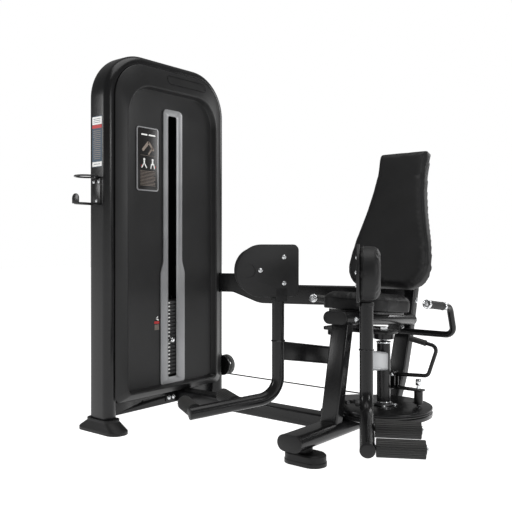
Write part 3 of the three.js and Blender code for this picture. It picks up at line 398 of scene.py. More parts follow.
pulley_half = 0.009
stack_y = 0.155
guide_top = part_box("guide_rod_front")[1].z
rail_under = hoop_top - hoop_tube[0]
post_face_y = rear_post_y - hoop_tube[0] / 2
cheek_x = pulley_half + 0.0058


def pulley_fork(name, y, z, reach, toward):
    """Two cheeks, the plate that they are welded to, and the axle bolt with its nut."""
    toward = Vector(toward)
    middle = Vector((tower_x, y, z))
    cheeks = [slab(name + "_cheek", 0.032, reach + 0.016, 0.015, 0.005,
                   middle + X * (side * cheek_x - 0.0025) + toward * (reach - 0.016) / 2,
                   toward.cross(X), toward) for side in (-1, 1)]
    base = slab(name + "_base", 0.044, 0.032, 0.004, 0.004, middle + toward * (reach - 0.004), X,
                toward.cross(X))
    axle = turned(name + "_axle",
                  [(0.005, -0.021), (0.011, -0.021), (0.011, -0.016), (0.006, -0.016), (0.006, 0.016),
                                   (0.010, 0.016), (0.010, 0.022), (0.005, 0.022)], middle, X, 24)
    return one_piece(name, *cheeks, base, axle)


tie = slab("rod_tie", 0.044, post_face_y - front_post_y - 0.031, 0.004, 0.0095,
           (tower_x, (post_face_y + front_post_y + 0.030) / 2, guide_top + 0.0004), X, Y)
brackets = one_piece(
    "pulley_brackets",
    pulley_fork("rear_top_fork", 0.301, 1.380, rail_under - 1.380, Z),
    pulley_fork("front_top_fork", 0.197, 1.380, rail_under - 1.380, Z),
    pulley_fork("low_fork", 0.385, 0.346, post_face_y - 0.385, Y), tie)
fit(brackets, powder_coat, "frame", "powder_black")

# ---- tower boots --------------------------------------------------------------------------------
# Moulded rubber-edged boots: a wide oval sole that slopes up to a collar round each post.

moulded_black = finish("Moulded black plastic", (0.006, 0.006, 0.0063), (0.009, 0.009, 0.0095),
                       (0.42, 0.55),
                       pimple=700, relief=0.18, dusty=0.02, gleam=0.3)

for name, node_name, y in (("front_boot", "tower_boot_front", front_post_y),
                           ("rear_boot", "tower_boot_rear", rear_post_y)):
    low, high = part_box(node_name)
    rounded_face(high.x - low.x, high.y - low.y, 1, segments=12)
    bpy.ops.mesh.select_all(action="SELECT")
    lengthen((0, 0, 0.012))
    lengthen((0, 0, 0.004), (0.97, 0.94, 1))
    lengthen((0, 0, 0.026), (0.62, 0.84, 1))
    lengthen((0, 0, high.z - 0.042))
    outward_faces()
    boot = stand((tower_x, y, 0), X, Y)
    boot.name = name
    soften(boot, 0.003, 3, angle=12)
    fit(boot, moulded_black, "frame", "plastic_black", node_name)

# ---- base beam ----------------------------------------------------------------------------------
# Rectangular tube welded between the two posts, with one open hole in its side.

low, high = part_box("tower_base_beam")
beam = slab("base_beam", high.x - low.x, high.z - low.z, 0.006, high.y - low.y,
            ((low.x + high.x) / 2, high.y, (low.z + high.z) / 2), X, Z, edge=0.001)
hole = turned("hole", [(0.0045, -0.01), (0.0045, 0.01)], (high.x, 0.016, 0.090), X, 20)
fit(carve(beam, hole), powder_coat, "frame", "powder_black", "tower_base_beam")

# ---- bolts --------------------------------------------------------------------------------------
# Button head screws with a hexagon socket over a plain washer, zinc plated. One is made, and each
# place gets a copy of it.

bright_zinc = finish("Bright zinc", (0.56, 0.57, 0.58), (0.72, 0.73, 0.74), (0.16, 0.3), metal=1.0,
                     pimple=500, relief=0.03, dusty=0.05)

bolt_head = turned("bolt_head", [(0.0078, 0.0016), (0.0078, 0.0028), (0.0070, 0.0052), (0.0052, 0.0066)],
                   (0, 0, 0), Z, 24)
carve(bolt_head, turned("socket", [(0.0028, 0.0036), (0.0028, 0.009)], (0, 0, 0), Z, 6))
bolt_washer = turned("bolt_washer", [(0.0098, 0.0), (0.0104, 0.0004), (0.0104, 0.0014), (0.0098, 0.0018)],
                     (0, 0, 0), Z, 28)
bolt = one_piece("bolt", bolt_head, bolt_washer)


def bolts(name, body, places, size=1.0):
    """Bolts at (place, direction) pairs, as one piece."""
    copies = []
    for place, toward in places:
        copy = twin(bolt, "bolt_copy")
        toward = Vector(toward).normalized()
        across = toward.orthogonal().normalized()
        turn = Matrix((across, toward.cross(across), toward)).transposed().to_4x4()
        copy.matrix_world = Matrix.Translation(place) @ turn @ Matrix.Scale(size, 4)
        bpy.ops.object.transform_apply(location=True, rotation=True, scale=True)
        copies.append(copy)
    return fit(one_piece(name, *copies), bright_zinc, body, "chrome")


# A clamp plate on the side of the base beam, where the floor cross beam is bolted on.
clamp = slab("clamp_plate", 0.060, 0.036, 0.006, 0.004, (-0.8316, 0.176, 0.0845), Y, Z)
fit(clamp, powder_coat, "frame", "powder_black")
bolts("base_beam_bolts", "frame", [((-0.8275, 0.164, 0.0845), X), ((-0.8275, 0.190, 0.0845), X)])


# ---- tower covers -------------------------------------------------------------------------------
# Vacuum formed covers on both sides of the hoop. The border slopes up to a crest, and the panel
# inside it is set back. The one on the seat's side has the slit for choosing the weight.

cover_black = finish("Formed cover plastic", (0.0065, 0.0065, 0.0068), (0.0100, 0.0100, 0.0104),
                     (0.34, 0.46),
                     pimple=900, relief=0.1, dusty=0.02, gleam=0.35)
crest_rise, cover_wall, crest_rim = 0.026, 0.003, 0.006
cover_foot, cover_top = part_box("far_side_cover")[0].z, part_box("far_side_cover")[1].z
cover_front, cover_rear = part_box("far_side_cover")[0].y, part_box("far_side_cover")[1].y
seat_side, far_side = tower_x + 0.0608, tower_x - 0.0608
crest = {"front": -0.110, "rear": 0.413, "low": 0.139, "high": 1.391}


def pick(test, kind="VERT"):
    """In edit mode, selects the points or faces for which the test on place and normal holds."""
    piece = bpy.context.object
    bpy.ops.object.mode_set(mode="EDIT")
    bpy.ops.mesh.select_mode(type=kind)
    bpy.ops.mesh.select_all(action="DESELECT")
    bpy.ops.object.mode_set(mode="OBJECT")
    if kind == "FACE":
        for face in piece.data.polygons:
            face.select = test(face.center, face.normal)
    else:
        for point in piece.data.vertices:
            point.select = test(point.co)
    bpy.ops.object.mode_set(mode="EDIT")


def two_radius_face(width, height, top_radius, low_radius, segments):
    """A flat face whose upper and lower corners have different radii."""
    deselect()
    bpy.ops.mesh.primitive_plane_add(size=1)
    bpy.ops.object.mode_set(mode="EDIT")
    bpy.ops.transform.resize(value=(width, height, 1))
    for radius, sign in ((top_radius, 1), (low_radius, -1)):
        pick(lambda at: at.y * sign > 0.49 * height)
        bpy.ops.mesh.bevel(offset=radius, segments=segments, affect="VERTICES")
    bpy.ops.mesh.select_mode(type="FACE")
    bpy.ops.mesh.select_all(action="SELECT")


def cover(name, x, outward):
    """A pressed cover with its back edge in the plane x; local y is up and local x is along the tower."""
    width, height = cover_rear - cover_front, cover_top - cover_foot
    two_radius_face(width, height, 0.150, 0.026, 16)
    lengthen((0, 0, 0.004))
    lengthen((0, 0, crest_rise - 0.004))
    share = ((crest["rear"] - crest["front"]) / width, (crest["high"] - crest["low"]) / height)
    bpy.ops.transform.resize(value=(share[0], share[1], 1), center_override=(0, 0, crest_rise))
    bpy.ops.transform.translate(value=(0, (crest["high"] + crest["low"] - cover_top - cover_foot) / 2, 0))
    bpy.ops.mesh.inset(thickness=crest_rim)
    bpy.ops.mesh.inset(thickness=0.002)
    bpy.ops.transform.translate(value=(0, 0, -0.003))
    bpy.ops.mesh.inset(thickness=0.007)
    bpy.ops.transform.translate(value=(0, 0, cover_wall + 0.003 - crest_rise))
    pick(lambda centre, normal: centre.z < 1e-5 and normal.z < -0.5, "FACE")
    bpy.ops.mesh.delete(type="FACE")
    bpy.ops.object.mode_set(mode="OBJECT")
    soften(bpy.context.object, 0.0025, 3, angle=12)
    wall = bpy.context.object.modifiers.new("Wall", "SOLIDIFY")
    wall.thickness, wall.offset = 0.0026, -1
    bpy.ops.object.modifier_apply(modifier=wall.name)
    middle = ((cover_front + cover_rear) / 2, (cover_foot + cover_top) / 2)
    piece = stand((x, *middle), Y * outward, Z)
    piece.name = name
    return piece


slit_width, slit_low, slit_high = 0.052, 0.176, 1.287
seat_cover = cover("seat_side_cover_shell", seat_side, 1)
slit = slab("slit", slit_width + 0.008, slit_high - slit_low + 0.008, 0.014, 0.05,
            (seat_side - 0.02, stack_y, (slit_low + slit_high) / 2), Y, Z, edge=0)
link_way = Vector((0.802, 0.287, 0)).normalized()
link_side = Z.cross(link_way)
link_at = lambda share, z: Vector((-0.802 + 0.802 * share, rear_post_y + 0.287 * share, z))
notch = bent_tube("notch", (0.090, 0.051, 0.009), [link_at(-0.06, 0.567), link_at(0.09, 0.567)], link_side)
carve(seat_cover, slit, notch)
bpy.ops.object.shade_smooth_by_angle(angle=math.radians(40))
fit(seat_cover, cover_black, "frame", "panel_plastic", "seat_side_cover")
far_cover = cover("far_side_cover_shell", far_side, -1)
bpy.ops.object.shade_smooth_by_angle(angle=math.radians(40))
fit(far_cover, cover_black, "frame", "panel_plastic", "far_side_cover")

# A fine line pressed round a blank field on the sloping top border.
field_slope = Vector((-crest_rise + 0.004, 0, cover_top - crest["high"])).normalized()
field_out = Y.cross(field_slope)
field = slab("field", 0.230, 0.040, 0.016, 0.0008,
             Vector((seat_side + 0.0152, 0.232,
                     (cover_top + crest["high"]) / 2 + 0.004)) + field_out * 0.0002, Y, field_slope, edge=0)
inner = slab("inner", 0.227, 0.037, 0.0145, 0.02,
             Vector((seat_side + 0.0152, 0.232,
                     (cover_top + crest["high"]) / 2 + 0.004)) - field_out * 0.01, Y, field_slope, edge=0)
fit(carve(field, inner), powder_coat, "frame", "panel_plastic")

# ---- slot trim ----------------------------------------------------------------------------------
# Silver painted frame round the slit, wider at the bottom where the plates stand. Its inner edge
# slopes into the slit, and it is clipped on the cover.

silver_trim = finish("Silver trim paint", (0.27, 0.272, 0.28), (0.34, 0.342, 0.35), (0.3, 0.42), metal=0.5,
                     pimple=1600, relief=0.04, dusty=0.06)
trim_low, trim_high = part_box("slot_trim")
narrow_width, trim_step, trim_blend = 0.109, 0.644, 0.021
deselect()
bpy.ops.mesh.primitive_plane_add(size=1)
bpy.ops.object.mode_set(mode="EDIT")
upper = trim_high.z - trim_step - trim_blend
bpy.ops.transform.resize(value=(narrow_width, upper, 1))
bpy.ops.transform.translate(value=(0, upper / 2, 0))
pick(lambda at: at.y < 1e-5)
bpy.ops.mesh.extrude_region_move(TRANSFORM_OT_translate={"value": (0, -2 * trim_blend, 0)})
bpy.ops.transform.resize(value=((trim_high.y - trim_low.y) / narrow_width, 1, 1))
bpy.ops.mesh.extrude_region_move(TRANSFORM_OT_translate={"value": (0, trim_low.z - trim_step + trim_blend,
                                                                   0)})
bpy.ops.mesh.select_all(action="SELECT")
pick(lambda at: at.y > upper - 1e-4 or at.y < trim_low.z - trim_step - trim_blend + 1e-4)
bpy.ops.mesh.bevel(offset=0.020, segments=8, affect="VERTICES")
pick(lambda at: -2 * trim_blend - 1e-4 < at.y < 1e-4)
bpy.ops.mesh.bevel(offset=0.010, segments=3, affect="VERTICES")
bpy.ops.mesh.select_mode(type="FACE")
bpy.ops.mesh.select_all(action="SELECT")
lengthen((0, 0, trim_high.x - trim_low.x))
outward_faces()
trim = stand((trim_low.x, stack_y, trim_step + trim_blend), Y, Z)
trim.name = "slot_trim_frame"
rounded_face(slit_width - 0.004, slit_high - slit_low - 0.004, 0.009)
bpy.ops.mesh.select_all(action="SELECT")
bpy.ops.transform.translate(value=(0, 0, -0.001))
lengthen((0, 0, 0.0012))
lengthen((0, 0, 0.0058))
bpy.ops.transform.resize(value=(1.42, 1.022, 1))
outward_faces()
funnel = stand((trim_low.x, stack_y, (slit_low + slit_high) / 2), Y, Z)
carve(trim, funnel)
soften(trim, 0.0012, 3, angle=25)
fit(trim, silver_trim, "frame", "silver_trim", "slot_trim")

# ---- instruction plate --------------------------------------------------------------------------
# Dark printed plate in a thin bright border. It shows a leg, two seated figures and ruled lines,
# all plain shapes of the maker's own.

print_dark = finish("Printed plate", (0.007, 0.006, 0.006), (0.010, 0.009, 0.009), (0.22, 0.3), pimple=300,
                    relief=0.01, dusty=0.04)
print_light = finish("Light print", (0.80, 0.80, 0.78), (0.90, 0.90, 0.88), (0.4, 0.5), pimple=300,
                     relief=0.01, dusty=0.04)
print_tan = finish("Tan print", (0.20, 0.16, 0.13), (0.27, 0.22, 0.19), (0.4, 0.5), pimple=300, relief=0.01,
                   dusty=0.04)
print_red = finish("Red print", (0.45, 0.012, 0.016), (0.52, 0.02, 0.02), (0.35, 0.45), pimple=300,
                   relief=0.01, dusty=0.04)
plate_low, plate_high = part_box("placard")
plate_middle = (plate_low + plate_high) / 2
plate_size = plate_high - plate_low
border = slab("placard_border", plate_size.y, plate_size.z, 0.012, 0.0026,
              (plate_low.x, plate_middle.y, plate_middle.z), Y, Z, edge=0.0006)
fit(border, silver_trim, "frame", "silver_trim")
face = slab("placard_face", plate_size.y - 0.010, plate_size.z - 0.010, 0.008, 0.0006,
            (plate_low.x + 0.0025, plate_middle.y, plate_middle.z), Y, Z, edge=0.0002)
fit(face, print_dark, "frame", "placard_print", "placard")


def stroke(across, up, length, width, tilt=0.0):
    """A printed bar on the plate, placed from the plate's middle, tilted in degrees."""
    turn = math.radians(tilt)
    way = Y * math.cos(turn) + Z * math.sin(turn)
    origin = (plate_low.x + 0.0031, plate_middle.y + across, plate_middle.z + up)
    return slab("stroke", length, width, width * 0.45, 0.0002, origin, way, X.cross(way), edge=0,
                segments=3)


def figure(across, up, spread):
    """A small seated figure from behind: head, trunk and two legs at an angle."""
    head = turned("head", [(0.0052, 0), (0.0052, 0.0002)],
                  (plate_low.x + 0.0031, plate_middle.y + across, plate_middle.z + up + 0.016), X, 20)
    return [head, stroke(across, up + 0.003, 0.017, 0.008, 90),
            stroke(across - 0.008, up - 0.010, 0.022, 0.005, 90 - spread),
            stroke(across + 0.008, up - 0.010, 0.022, 0.005, 90 + spread)]


title = [stroke(-0.0195, 0.099, 0.033, 0.006), stroke(0.0225, 0.099, 0.037, 0.006)]
light = one_piece("placard_light_print", *title, *figure(-0.020, -0.018, 32), *figure(0.026, -0.018, 12))
fit(light, print_light, "frame", "placard_print")
leg = [stroke(-0.012, 0.052, 0.052, 0.012, 48), stroke(0.017, 0.054, 0.046, 0.009, -50),
       stroke(0.014, 0.033, 0.036, 0.007, 50),
       stroke(0, 0.014, 0.082, 0.0007)]
lines = [stroke(-0.004 if row % 4 == 3 else 0, -0.050 - 0.0058 * row, 0.074 if row % 4 == 3 else 0.082,
                0.0016) for row in range(11)]
fit(one_piece("placard_tan_print", *leg, *lines), print_tan, "frame", "placard_print")
red = one_piece("placard_red_print", stroke(0.0405, -0.030, 0.009, 0.003, 70),
                stroke(-0.034, -0.030, 0.008, 0.003, 110))
fit(red, print_red, "frame", "placard_print")

# ---- labels on the tower ------------------------------------------------------------------------
# A tall printed label on the front post and a small one by the slit: bands of plain colour with
# ruled lines in place of words.

label_blue = finish("Blue grey print", (0.018, 0.045, 0.075), (0.026, 0.058, 0.092), (0.35, 0.45),
                    pimple=300, relief=0.01, dusty=0.04)
label_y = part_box("tower_hoop")[0].y
label_parts = {print_light: [], label_blue: [], print_red: [], print_tan: []}


def label_bar(material, up, height, width=0.054, layer=0):
    bar = slab("label_bar", width, height, 0.0012, 0.0003, (tower_x, label_y - 0.0002 - 0.0003 * layer, up),
               X, Z, edge=0, segments=2)
    label_parts[material].append(bar)


label_bar(label_blue, 1.144, 0.200, 0.060)
label_bar(print_light, 1.226, 0.030, 0.058, 1)
label_bar(print_red, 1.203, 0.013, 0.058, 1)
label_bar(print_light, 1.055, 0.018, 0.058, 1)
for row in range(15):
    label_bar(print_tan, 1.186 - 0.0078 * row, 0.0022, 0.036 if row % 5 == 4 else 0.046, 1)
for row in range(3):
    label_bar(label_blue, 1.233 - 0.007 * row, 0.0018, 0.044, 2)
label_bar(label_blue, 1.055, 0.0018, 0.040, 2)
for material, parts in label_parts.items():
    fit(one_piece("post_label_" + material.name.split()[0].lower(), *parts), material, "frame",
        "placard_print")

sticker_x, sticker_y = seat_side + cover_wall + 0.0002, 0.066
sticker = {
    "sticker_mark": (print_light,
                     [slab("mark", 0.016, 0.005, 0.001, 0.0003, (sticker_x, sticker_y, 0.434), Y + 0.8 * Z,
                           Z - 0.8 * Y, edge=0, segments=2),
                                   slab("mark", 0.018, 0.005, 0.001, 0.0003,
                                        (sticker_x, sticker_y + 0.002, 0.428), Y - 0.5 * Z, Z + 0.5 * Y,
                                        edge=0, segments=2)]),
    "sticker_band": (print_red,
                     [slab("band", 0.028, 0.010, 0.001, 0.0003, (sticker_x, sticker_y, 0.415), Y, Z, edge=0,
                           segments=2)]),
    "sticker_lines": (print_tan,
                      [slab("line", 0.026, 0.0028, 0.0006, 0.0003,
                            (sticker_x, sticker_y, 0.404 - 0.0045 * row), Y, Z, edge=0, segments=2)
                                  for row in range(5)]),
}
for name, (material, parts) in sticker.items():
    fit(one_piece(name, *parts), material, "frame", "placard_print")

# ---- weight stack -------------------------------------------------------------------------------
# Twenty flat steel plates, painted, each with a pale mark for its number, drilled for the two
# guide rods, the stem and the selector pin. Nine rest on a rubber block and eleven hang on the pin.

stack_paint = finish("Stack paint", (0.020, 0.020, 0.022), (0.034, 0.034, 0.036), (0.35, 0.5), metal=0.2,
                     pimple=600, relief=0.12, worn=(0.2, 0.2, 0.2), wear=0.7, dusty=0.3)
plate_pitch, plate_gap = 0.01575, 0.0006
resting_count, lifted_count = 9, 11
resting_low, resting_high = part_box("resting_plates")
guide_spread = 0.120
plate_face_x = resting_high.x
plate = slab("plate", resting_high.x - resting_low.x, resting_high.y - resting_low.y, 0.008,
             plate_pitch - plate_gap,
             (tower_x, stack_y, 0), X, Y, edge=0.0007, segments=4)
holes = [turned("hole", [(radius, -0.01), (radius, 0.03)], (tower_x, stack_y + off, 0), Z, 24)
         for radius, off in ((0.0125, -guide_spread), (0.0125, guide_spread), (0.0135, 0))]
holes.append(turned("hole", [(0.0052, 0), (0.0052, 0.05)], (plate_face_x - 0.045, stack_y, plate_pitch / 2),
                    X, 16))
carve(plate, *holes)
mark = slab("mark", 0.0135, 0.0066, 0.001, 0.0003,
            (plate_face_x, stack_y - 0.0065, plate_pitch / 2 - 0.0003), Y, Z, edge=0, segments=2)


def stacked(pattern, name, low, count):
    """Copies of a pattern piled up from a height, as one piece."""
    copies = []
    for row in range(count):
        copy = twin(pattern, name)
        copy.location.z = low + row * plate_pitch
        bpy.ops.object.transform_apply(location=True, rotation=True, scale=True)
        copies.append(copy)
    return one_piece(name, *copies)


lifted_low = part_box("lifted_plates")[0].z
for name, body, low, count in (("resting", "frame", resting_low.z, resting_count),
                               ("lifted", "lifted_stack", lifted_low, lifted_count)):
    fit(stacked(plate, name + "_weight_plates", low, count), stack_paint, body, "stack_steel",
        name + "_plates")
    fit(stacked(mark, name + "_plate_marks", low, count), print_light, body, "placard_print")
bpy.data.objects.remove(plate)
bpy.data.objects.remove(mark)

# Chrome head and stem that lift the plates: the stem is drilled at every plate for the pin.
chrome = finish("Chrome", (0.62, 0.63, 0.64), (0.70, 0.71, 0.72), (0.06, 0.14), metal=1.0, pimple=200,
                relief=0.01, dusty=0.04)
stack_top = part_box("lifted_plates")[1].z
head_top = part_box("stack_head_and_stem")[1].z
stem_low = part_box("stack_head_and_stem")[0].z
stem = turned("stem", [(0.0105, stem_low), (0.012, stem_low + 0.0015), (0.012, stack_top + 0.012)],
              (tower_x, stack_y, 0), Z, 32)
carve(stem,
      *[turned("hole", [(0.0052, -0.02), (0.0052, 0.02)],
               (tower_x, stack_y, resting_low.z + (i + 1.5) * plate_pitch), X, 14)
              for i in range(resting_count)])
head = slab("head", 0.070, 0.060, 0.012, 0.022, (tower_x, stack_y, stack_top + 0.0004), X, Y, edge=0.003)
boss = turned("boss",
              [(0.014, stack_top + 0.02), (0.014, head_top - 0.012), (0.0105, head_top - 0.008),
               (0.0105, head_top - 0.001), (0.0095, head_top)],
              (tower_x, stack_y, 0), Z, 32)
fit(one_piece("stack_head", head, boss, stem), chrome, "lifted_stack", "chrome", "stack_head_and_stem")

# Selector pin with a round turned knob.
pin_z = (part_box("selector_pin")[0].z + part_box("selector_pin")[1].z) / 2
pin_tip, knob_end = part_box("selector_pin")[0].x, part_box("selector_pin")[1].x
pin = turned("pin",
             [(0.0032, pin_tip), (0.0045, pin_tip + 0.0015), (0.0045, plate_face_x + 0.0018),
              (0.0078, plate_face_x + 0.002),
                     (0.0102, plate_face_x + 0.004), (0.011, plate_face_x + 0.0065),
              (0.011, knob_end - 0.0065),
                     (0.0100, knob_end - 0.003), (0.0070, knob_end - 0.0006), (0.003, knob_end)],
             (0, stack_y, pin_z), X, 40)
fit(pin, chrome, "selector_pin", "chrome", "selector_pin")

# Guide rods: ground and chromed bars from the base to the tie plate.
for node_name in ("guide_rod_front", "guide_rod_rear"):
    low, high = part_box(node_name)
    rod = turned(node_name.replace("guide_rod", "chrome_rod"),
                 [(0.009, low.z), (0.010, low.z + 0.001), (0.010, high.z - 0.001), (0.009, high.z)],
                 (tower_x, (low.y + high.y) / 2, 0), Z, 32)
    fit(rod, chrome, "frame", "chrome", node_name)

# Rubber block under the stack.
soft_rubber = finish("Black rubber", (0.010, 0.010, 0.010), (0.017, 0.017, 0.017), (0.6, 0.75), pimple=1200,
                     relief=0.2, dusty=0.25)
low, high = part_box("stack_bumper")
bumper = slab("stack_rubber", high.x - low.x, high.y - low.y, 0.028, high.z - low.z,
              (tower_x, stack_y, low.z), X, Y, edge=0)
carve(bumper,
      *[turned("hole", [(0.0106, -0.01), (0.0106, 0.10)], (tower_x, stack_y + off, low.z), Z, 24)
        for off in (-guide_spread, guide_spread)])
soften(bumper, 0.002)
fit(bumper, soft_rubber, "frame", "rubber", "stack_bumper")

# ---- pulleys ------------------------------------------------------------------------------------
# Moulded nylon wheels with a round-bottomed groove and five openings in the web, on steel bushes.

nylon = finish("Grey nylon", (0.20, 0.205, 0.205), (0.27, 0.27, 0.265), (0.35, 0.48), pimple=500,
               relief=0.08, dusty=0.2)
groove_floor = 0.0385
wheel = turned("wheel", [
    (0.0064, -0.0115), (0.0135, -0.0115), (0.0145, -0.0105), (0.0145, -0.0045), (0.0350, -0.0045),
    (0.0365, -0.0060),
    (0.0460, -0.0066), (0.0468, -0.0058), (0.0468, -0.0050), (0.0420, -0.0036), (0.0398, -0.0026),
    (groove_floor, 0.0),
    (0.0398, 0.0026), (0.0420, 0.0036), (0.0468, 0.0050), (0.0468, 0.0058), (0.0460, 0.0066),
    (0.0365, 0.0060), (0.0350, 0.0045),
    (0.0145, 0.0045), (0.0145, 0.0105), (0.0135, 0.0115), (0.0064, 0.0115), (0.0064, -0.0115)], (0, 0, 0),
               Z, 48, bored=True)
web_holes = []
for turn in range(5):
    angle = math.radians(72 * turn)
    web_holes.append(turned("hole", [(0.0068, -0.01), (0.0068, 0.01)],
                            (0.0252 * math.cos(angle), 0.0252 * math.sin(angle), 0), Z, 20))
carve(wheel, *web_holes)
for node_name, axis in (("outlet_pulley", Y), ("crossing_pulley", X), ("low_pulley", X),
                        ("rear_top_pulley", X), ("front_top_pulley", X)):
    low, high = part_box(node_name)
    copy = twin(wheel, node_name.replace("pulley", "wheel"))
    across = Z
    copy.matrix_world = Matrix.Translation((low + high) / 2) @ Matrix((across, axis.cross(across),
                                                                       axis)).transposed().to_4x4()
    bpy.ops.object.transform_apply(location=True, rotation=True, scale=True)
    bpy.ops.object.shade_smooth_by_angle(angle=math.radians(40))
    fit(copy, nylon, node_name, "nylon", node_name)
bpy.data.objects.remove(wheel)

# Round guard plate with the axle screw that carries the outlet pulley behind the rear post.
outlet = (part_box("outlet_pulley")[0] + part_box("outlet_pulley")[1]) / 2
post_back = rear_post_y + hoop_tube[0] / 2
guard = turned("guard",
               [(0.0450, post_back), (0.0465, post_back + 0.0015), (0.0465, post_back + 0.0085),
                (0.0450, post_back + 0.010),
                         (0.0118, post_back + 0.010), (0.0112, post_back + 0.0195),
                (0.0060, post_back + 0.0198), (0.0060, outlet.y + 0.013),
                         ], (outlet.x, 0, outlet.z), Y, 48)
fit(guard, powder_coat, "frame", "powder_black")
bolts("outlet_axle_bolt", "frame", [((outlet.x, outlet.y + 0.0125, outlet.z), Y)], 1.2)
crossing_axle = turned("crossing_axle", [(0.0056, -0.029), (0.0056, 0.029)], (tower_x, 0.487, crossing_z),
                       X, 24)
fit(crossing_axle, bright_zinc, "frame", "chrome")

# ---- cables -------------------------------------------------------------------------------------
# Steel wire rope in a black plastic coat, held taut: from the cam along the floor into the tower,
# round the pulleys to the top and down to the stack head. A short length lies round the cam.

cable_coat = finish("Cable coat", (0.012, 0.012, 0.012), (0.02, 0.02, 0.02), (0.3, 0.42), pimple=900,
                    relief=0.05, dusty=0.1)
cable_section = (0.006, 0.006, 0.003)
pulley_groove = 0.042
rising_y = 0.343
cable_z = outlet.z - pulley_groove
top_z = 1.380 + pulley_groove
lift_cable = bent_tube("lift_cable_run", cable_section, [
    (0.100, outlet.y, cable_z), (tower_x, outlet.y, cable_z),
    (tower_x, outlet.y, crossing_z + pulley_groove),
    (tower_x, rising_y, crossing_z + pulley_groove), (tower_x, rising_y, top_z), (tower_x, stack_y, top_z),
    (tower_x, stack_y, 1.376)],
    Y, bend=pulley_groove, steps=12)
bpy.ops.object.shade_smooth_by_angle(angle=math.radians(40))
fit(lift_cable, cable_coat, "frame", "cable_coat", "lift_cable")

low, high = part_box("stack_cable")
stack_cable = turned("stack_cable_run",
                     [(0.003, low.z)] + [(0.003, low.z + (high.z - low.z) * (i + 1) / 8) for i in range(8)],
                     (tower_x, stack_y, 0), Z, 20)
# The run down to the stack head is the same black coated cable, coloured a bright metallic grey along its
# whole length: a painted highlight where it shows in the slit.
cable_painted_highlight = finish("Bright cable", (0.30, 0.30, 0.31), (0.40, 0.40, 0.41), (0.3, 0.42), metal=0.6,
                    pimple=900, relief=0.05, dusty=0.1)
fit(stack_cable, cable_painted_highlight, "frame", "cable_coat", "stack_cable")
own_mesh(stack_cable)

# ---- bottle holder ------------------------------------------------------------------------------
# Bent wire ring and a lower wire loop on a folded steel bracket, screwed to the front post, with a
# rounded tab that stops the bottle from sliding forward.

bracket_y = front_post_y - hoop_tube[0] / 2
bracket = slab("bracket", 0.048, 0.106, 0.006, 0.004, (tower_x, bracket_y - 0.0002, 0.947), X, Z,
               edge=0.0008)
stub = slab("stub", 0.016, 0.010, 0.002, 0.012, (tower_x, bracket_y - 0.003, 1.001), X, Z, edge=0.0008)
wire = 0.007
bpy.ops.object.select_all(action="DESELECT")
bpy.ops.mesh.primitive_torus_add(major_radius=0.044, minor_radius=wire / 2, major_segments=64,
                                 minor_segments=16,
                                 location=(tower_x, bracket_y - 0.0523, 1.003))
bpy.ops.object.transform_apply(location=True, rotation=True, scale=True)
ring = bpy.context.object
loop = bent_tube("loop", (wire, wire, wire / 2),
                 [(tower_x - 0.022, bracket_y - 0.002, 0.897), (tower_x - 0.022, bracket_y - 0.100, 0.897),
                                                  (tower_x + 0.022, bracket_y - 0.100, 0.897),
                  (tower_x + 0.022, bracket_y - 0.002, 0.897)], Z, bend=0.018, steps=8)
two_radius_face(0.040, 0.038, 0.0185, 0.003, 8)
lengthen((0, 0, 0.004))
outward_faces()
tab = soften(stand((tower_x, bracket_y - 0.1003, 0.915), X, Z), 0.0008)
holder = one_piece("bottle_holder_frame", bracket, stub, ring, loop, tab)
bpy.ops.object.shade_smooth_by_angle(angle=math.radians(40))
fit(holder, powder_coat, "frame", "powder_black", "bottle_holder")
bolts("bottle_holder_bolts", "frame",
      [((tower_x + x, bracket_y - 0.0042, z), -Y) for x,
       z in ((-0.015, 0.985), (0.015, 0.985), (0, 0.910))], 0.6)


# ---- seat frame ---------------------------------------------------------------------------------
# Welded steel tubes, powder coated: the main beam on two feet, the floor cross beam and the upper
# link beam to the tower, the front leg, the leaning rear post and the seat rail between them.

beam_tube = (0.054, 0.096, 0.027)
beam_low, beam_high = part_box("main_beam")
beam_z = (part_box("floor_cross_beam")[0].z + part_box("floor_cross_beam")[1].z) / 2 + 0.0005
cap_depth = 0.006


def with_room(section, room):
    """The same section, larger by an amount all round, for cutting its neighbours."""
    return (section[0] + 2 * room, section[1] + 2 * room, section[2] + room)


beam_route = [(0, beam_low.y + cap_depth, beam_z), (0, beam_high.y - cap_depth, beam_z)]
main_beam = bent_tube("main_beam_tube", beam_tube, beam_route, X)
ears = []
for side in (-1, 1):
    ear = slab("ear", 0.046, 0.084, 0.008, 0.104, (side * 0.046, 0.357, 0.083), Z * -side, Y, edge=0.0012)
    spindle = turned("spindle", [(0.012, 0.100), (0.012, 0.1570)], (side * 0.100, 0.357, 0), Z, 28)
    ears += [ear, spindle]
main_beam = one_piece("main_beam_tube", main_beam, *ears)
bpy.ops.object.shade_smooth_by_angle(angle=math.radians(40))
fit(main_beam, powder_coat, "frame", "powder_black", "main_beam")

post_tube = (0.045, 0.070, 0.008)
post_route = [(0, 0.606, 0.1122), (0, 0.664, 0.215), (0, 0.717, 0.372), (0, 0.753, 0.513),
              (0, 0.848, 0.850)]
rail_tube = (0.046, 0.100, 0.023)
rail_tilt = math.radians(5)
rail_front = Vector((0, 0.185, 0.475))
rail_way = Vector((0, math.cos(rail_tilt), -math.sin(rail_tilt)))
rail_up = X.cross(rail_way)
cross_tube = (0.053, 0.066, 0.008)
leg_tube = (0.045, 0.070, 0.008)
link_tube = (0.084, 0.045, 0.007)
leg_at = lambda z: Vector((0, 0.158 + 0.22 * (z - 0.098), z))

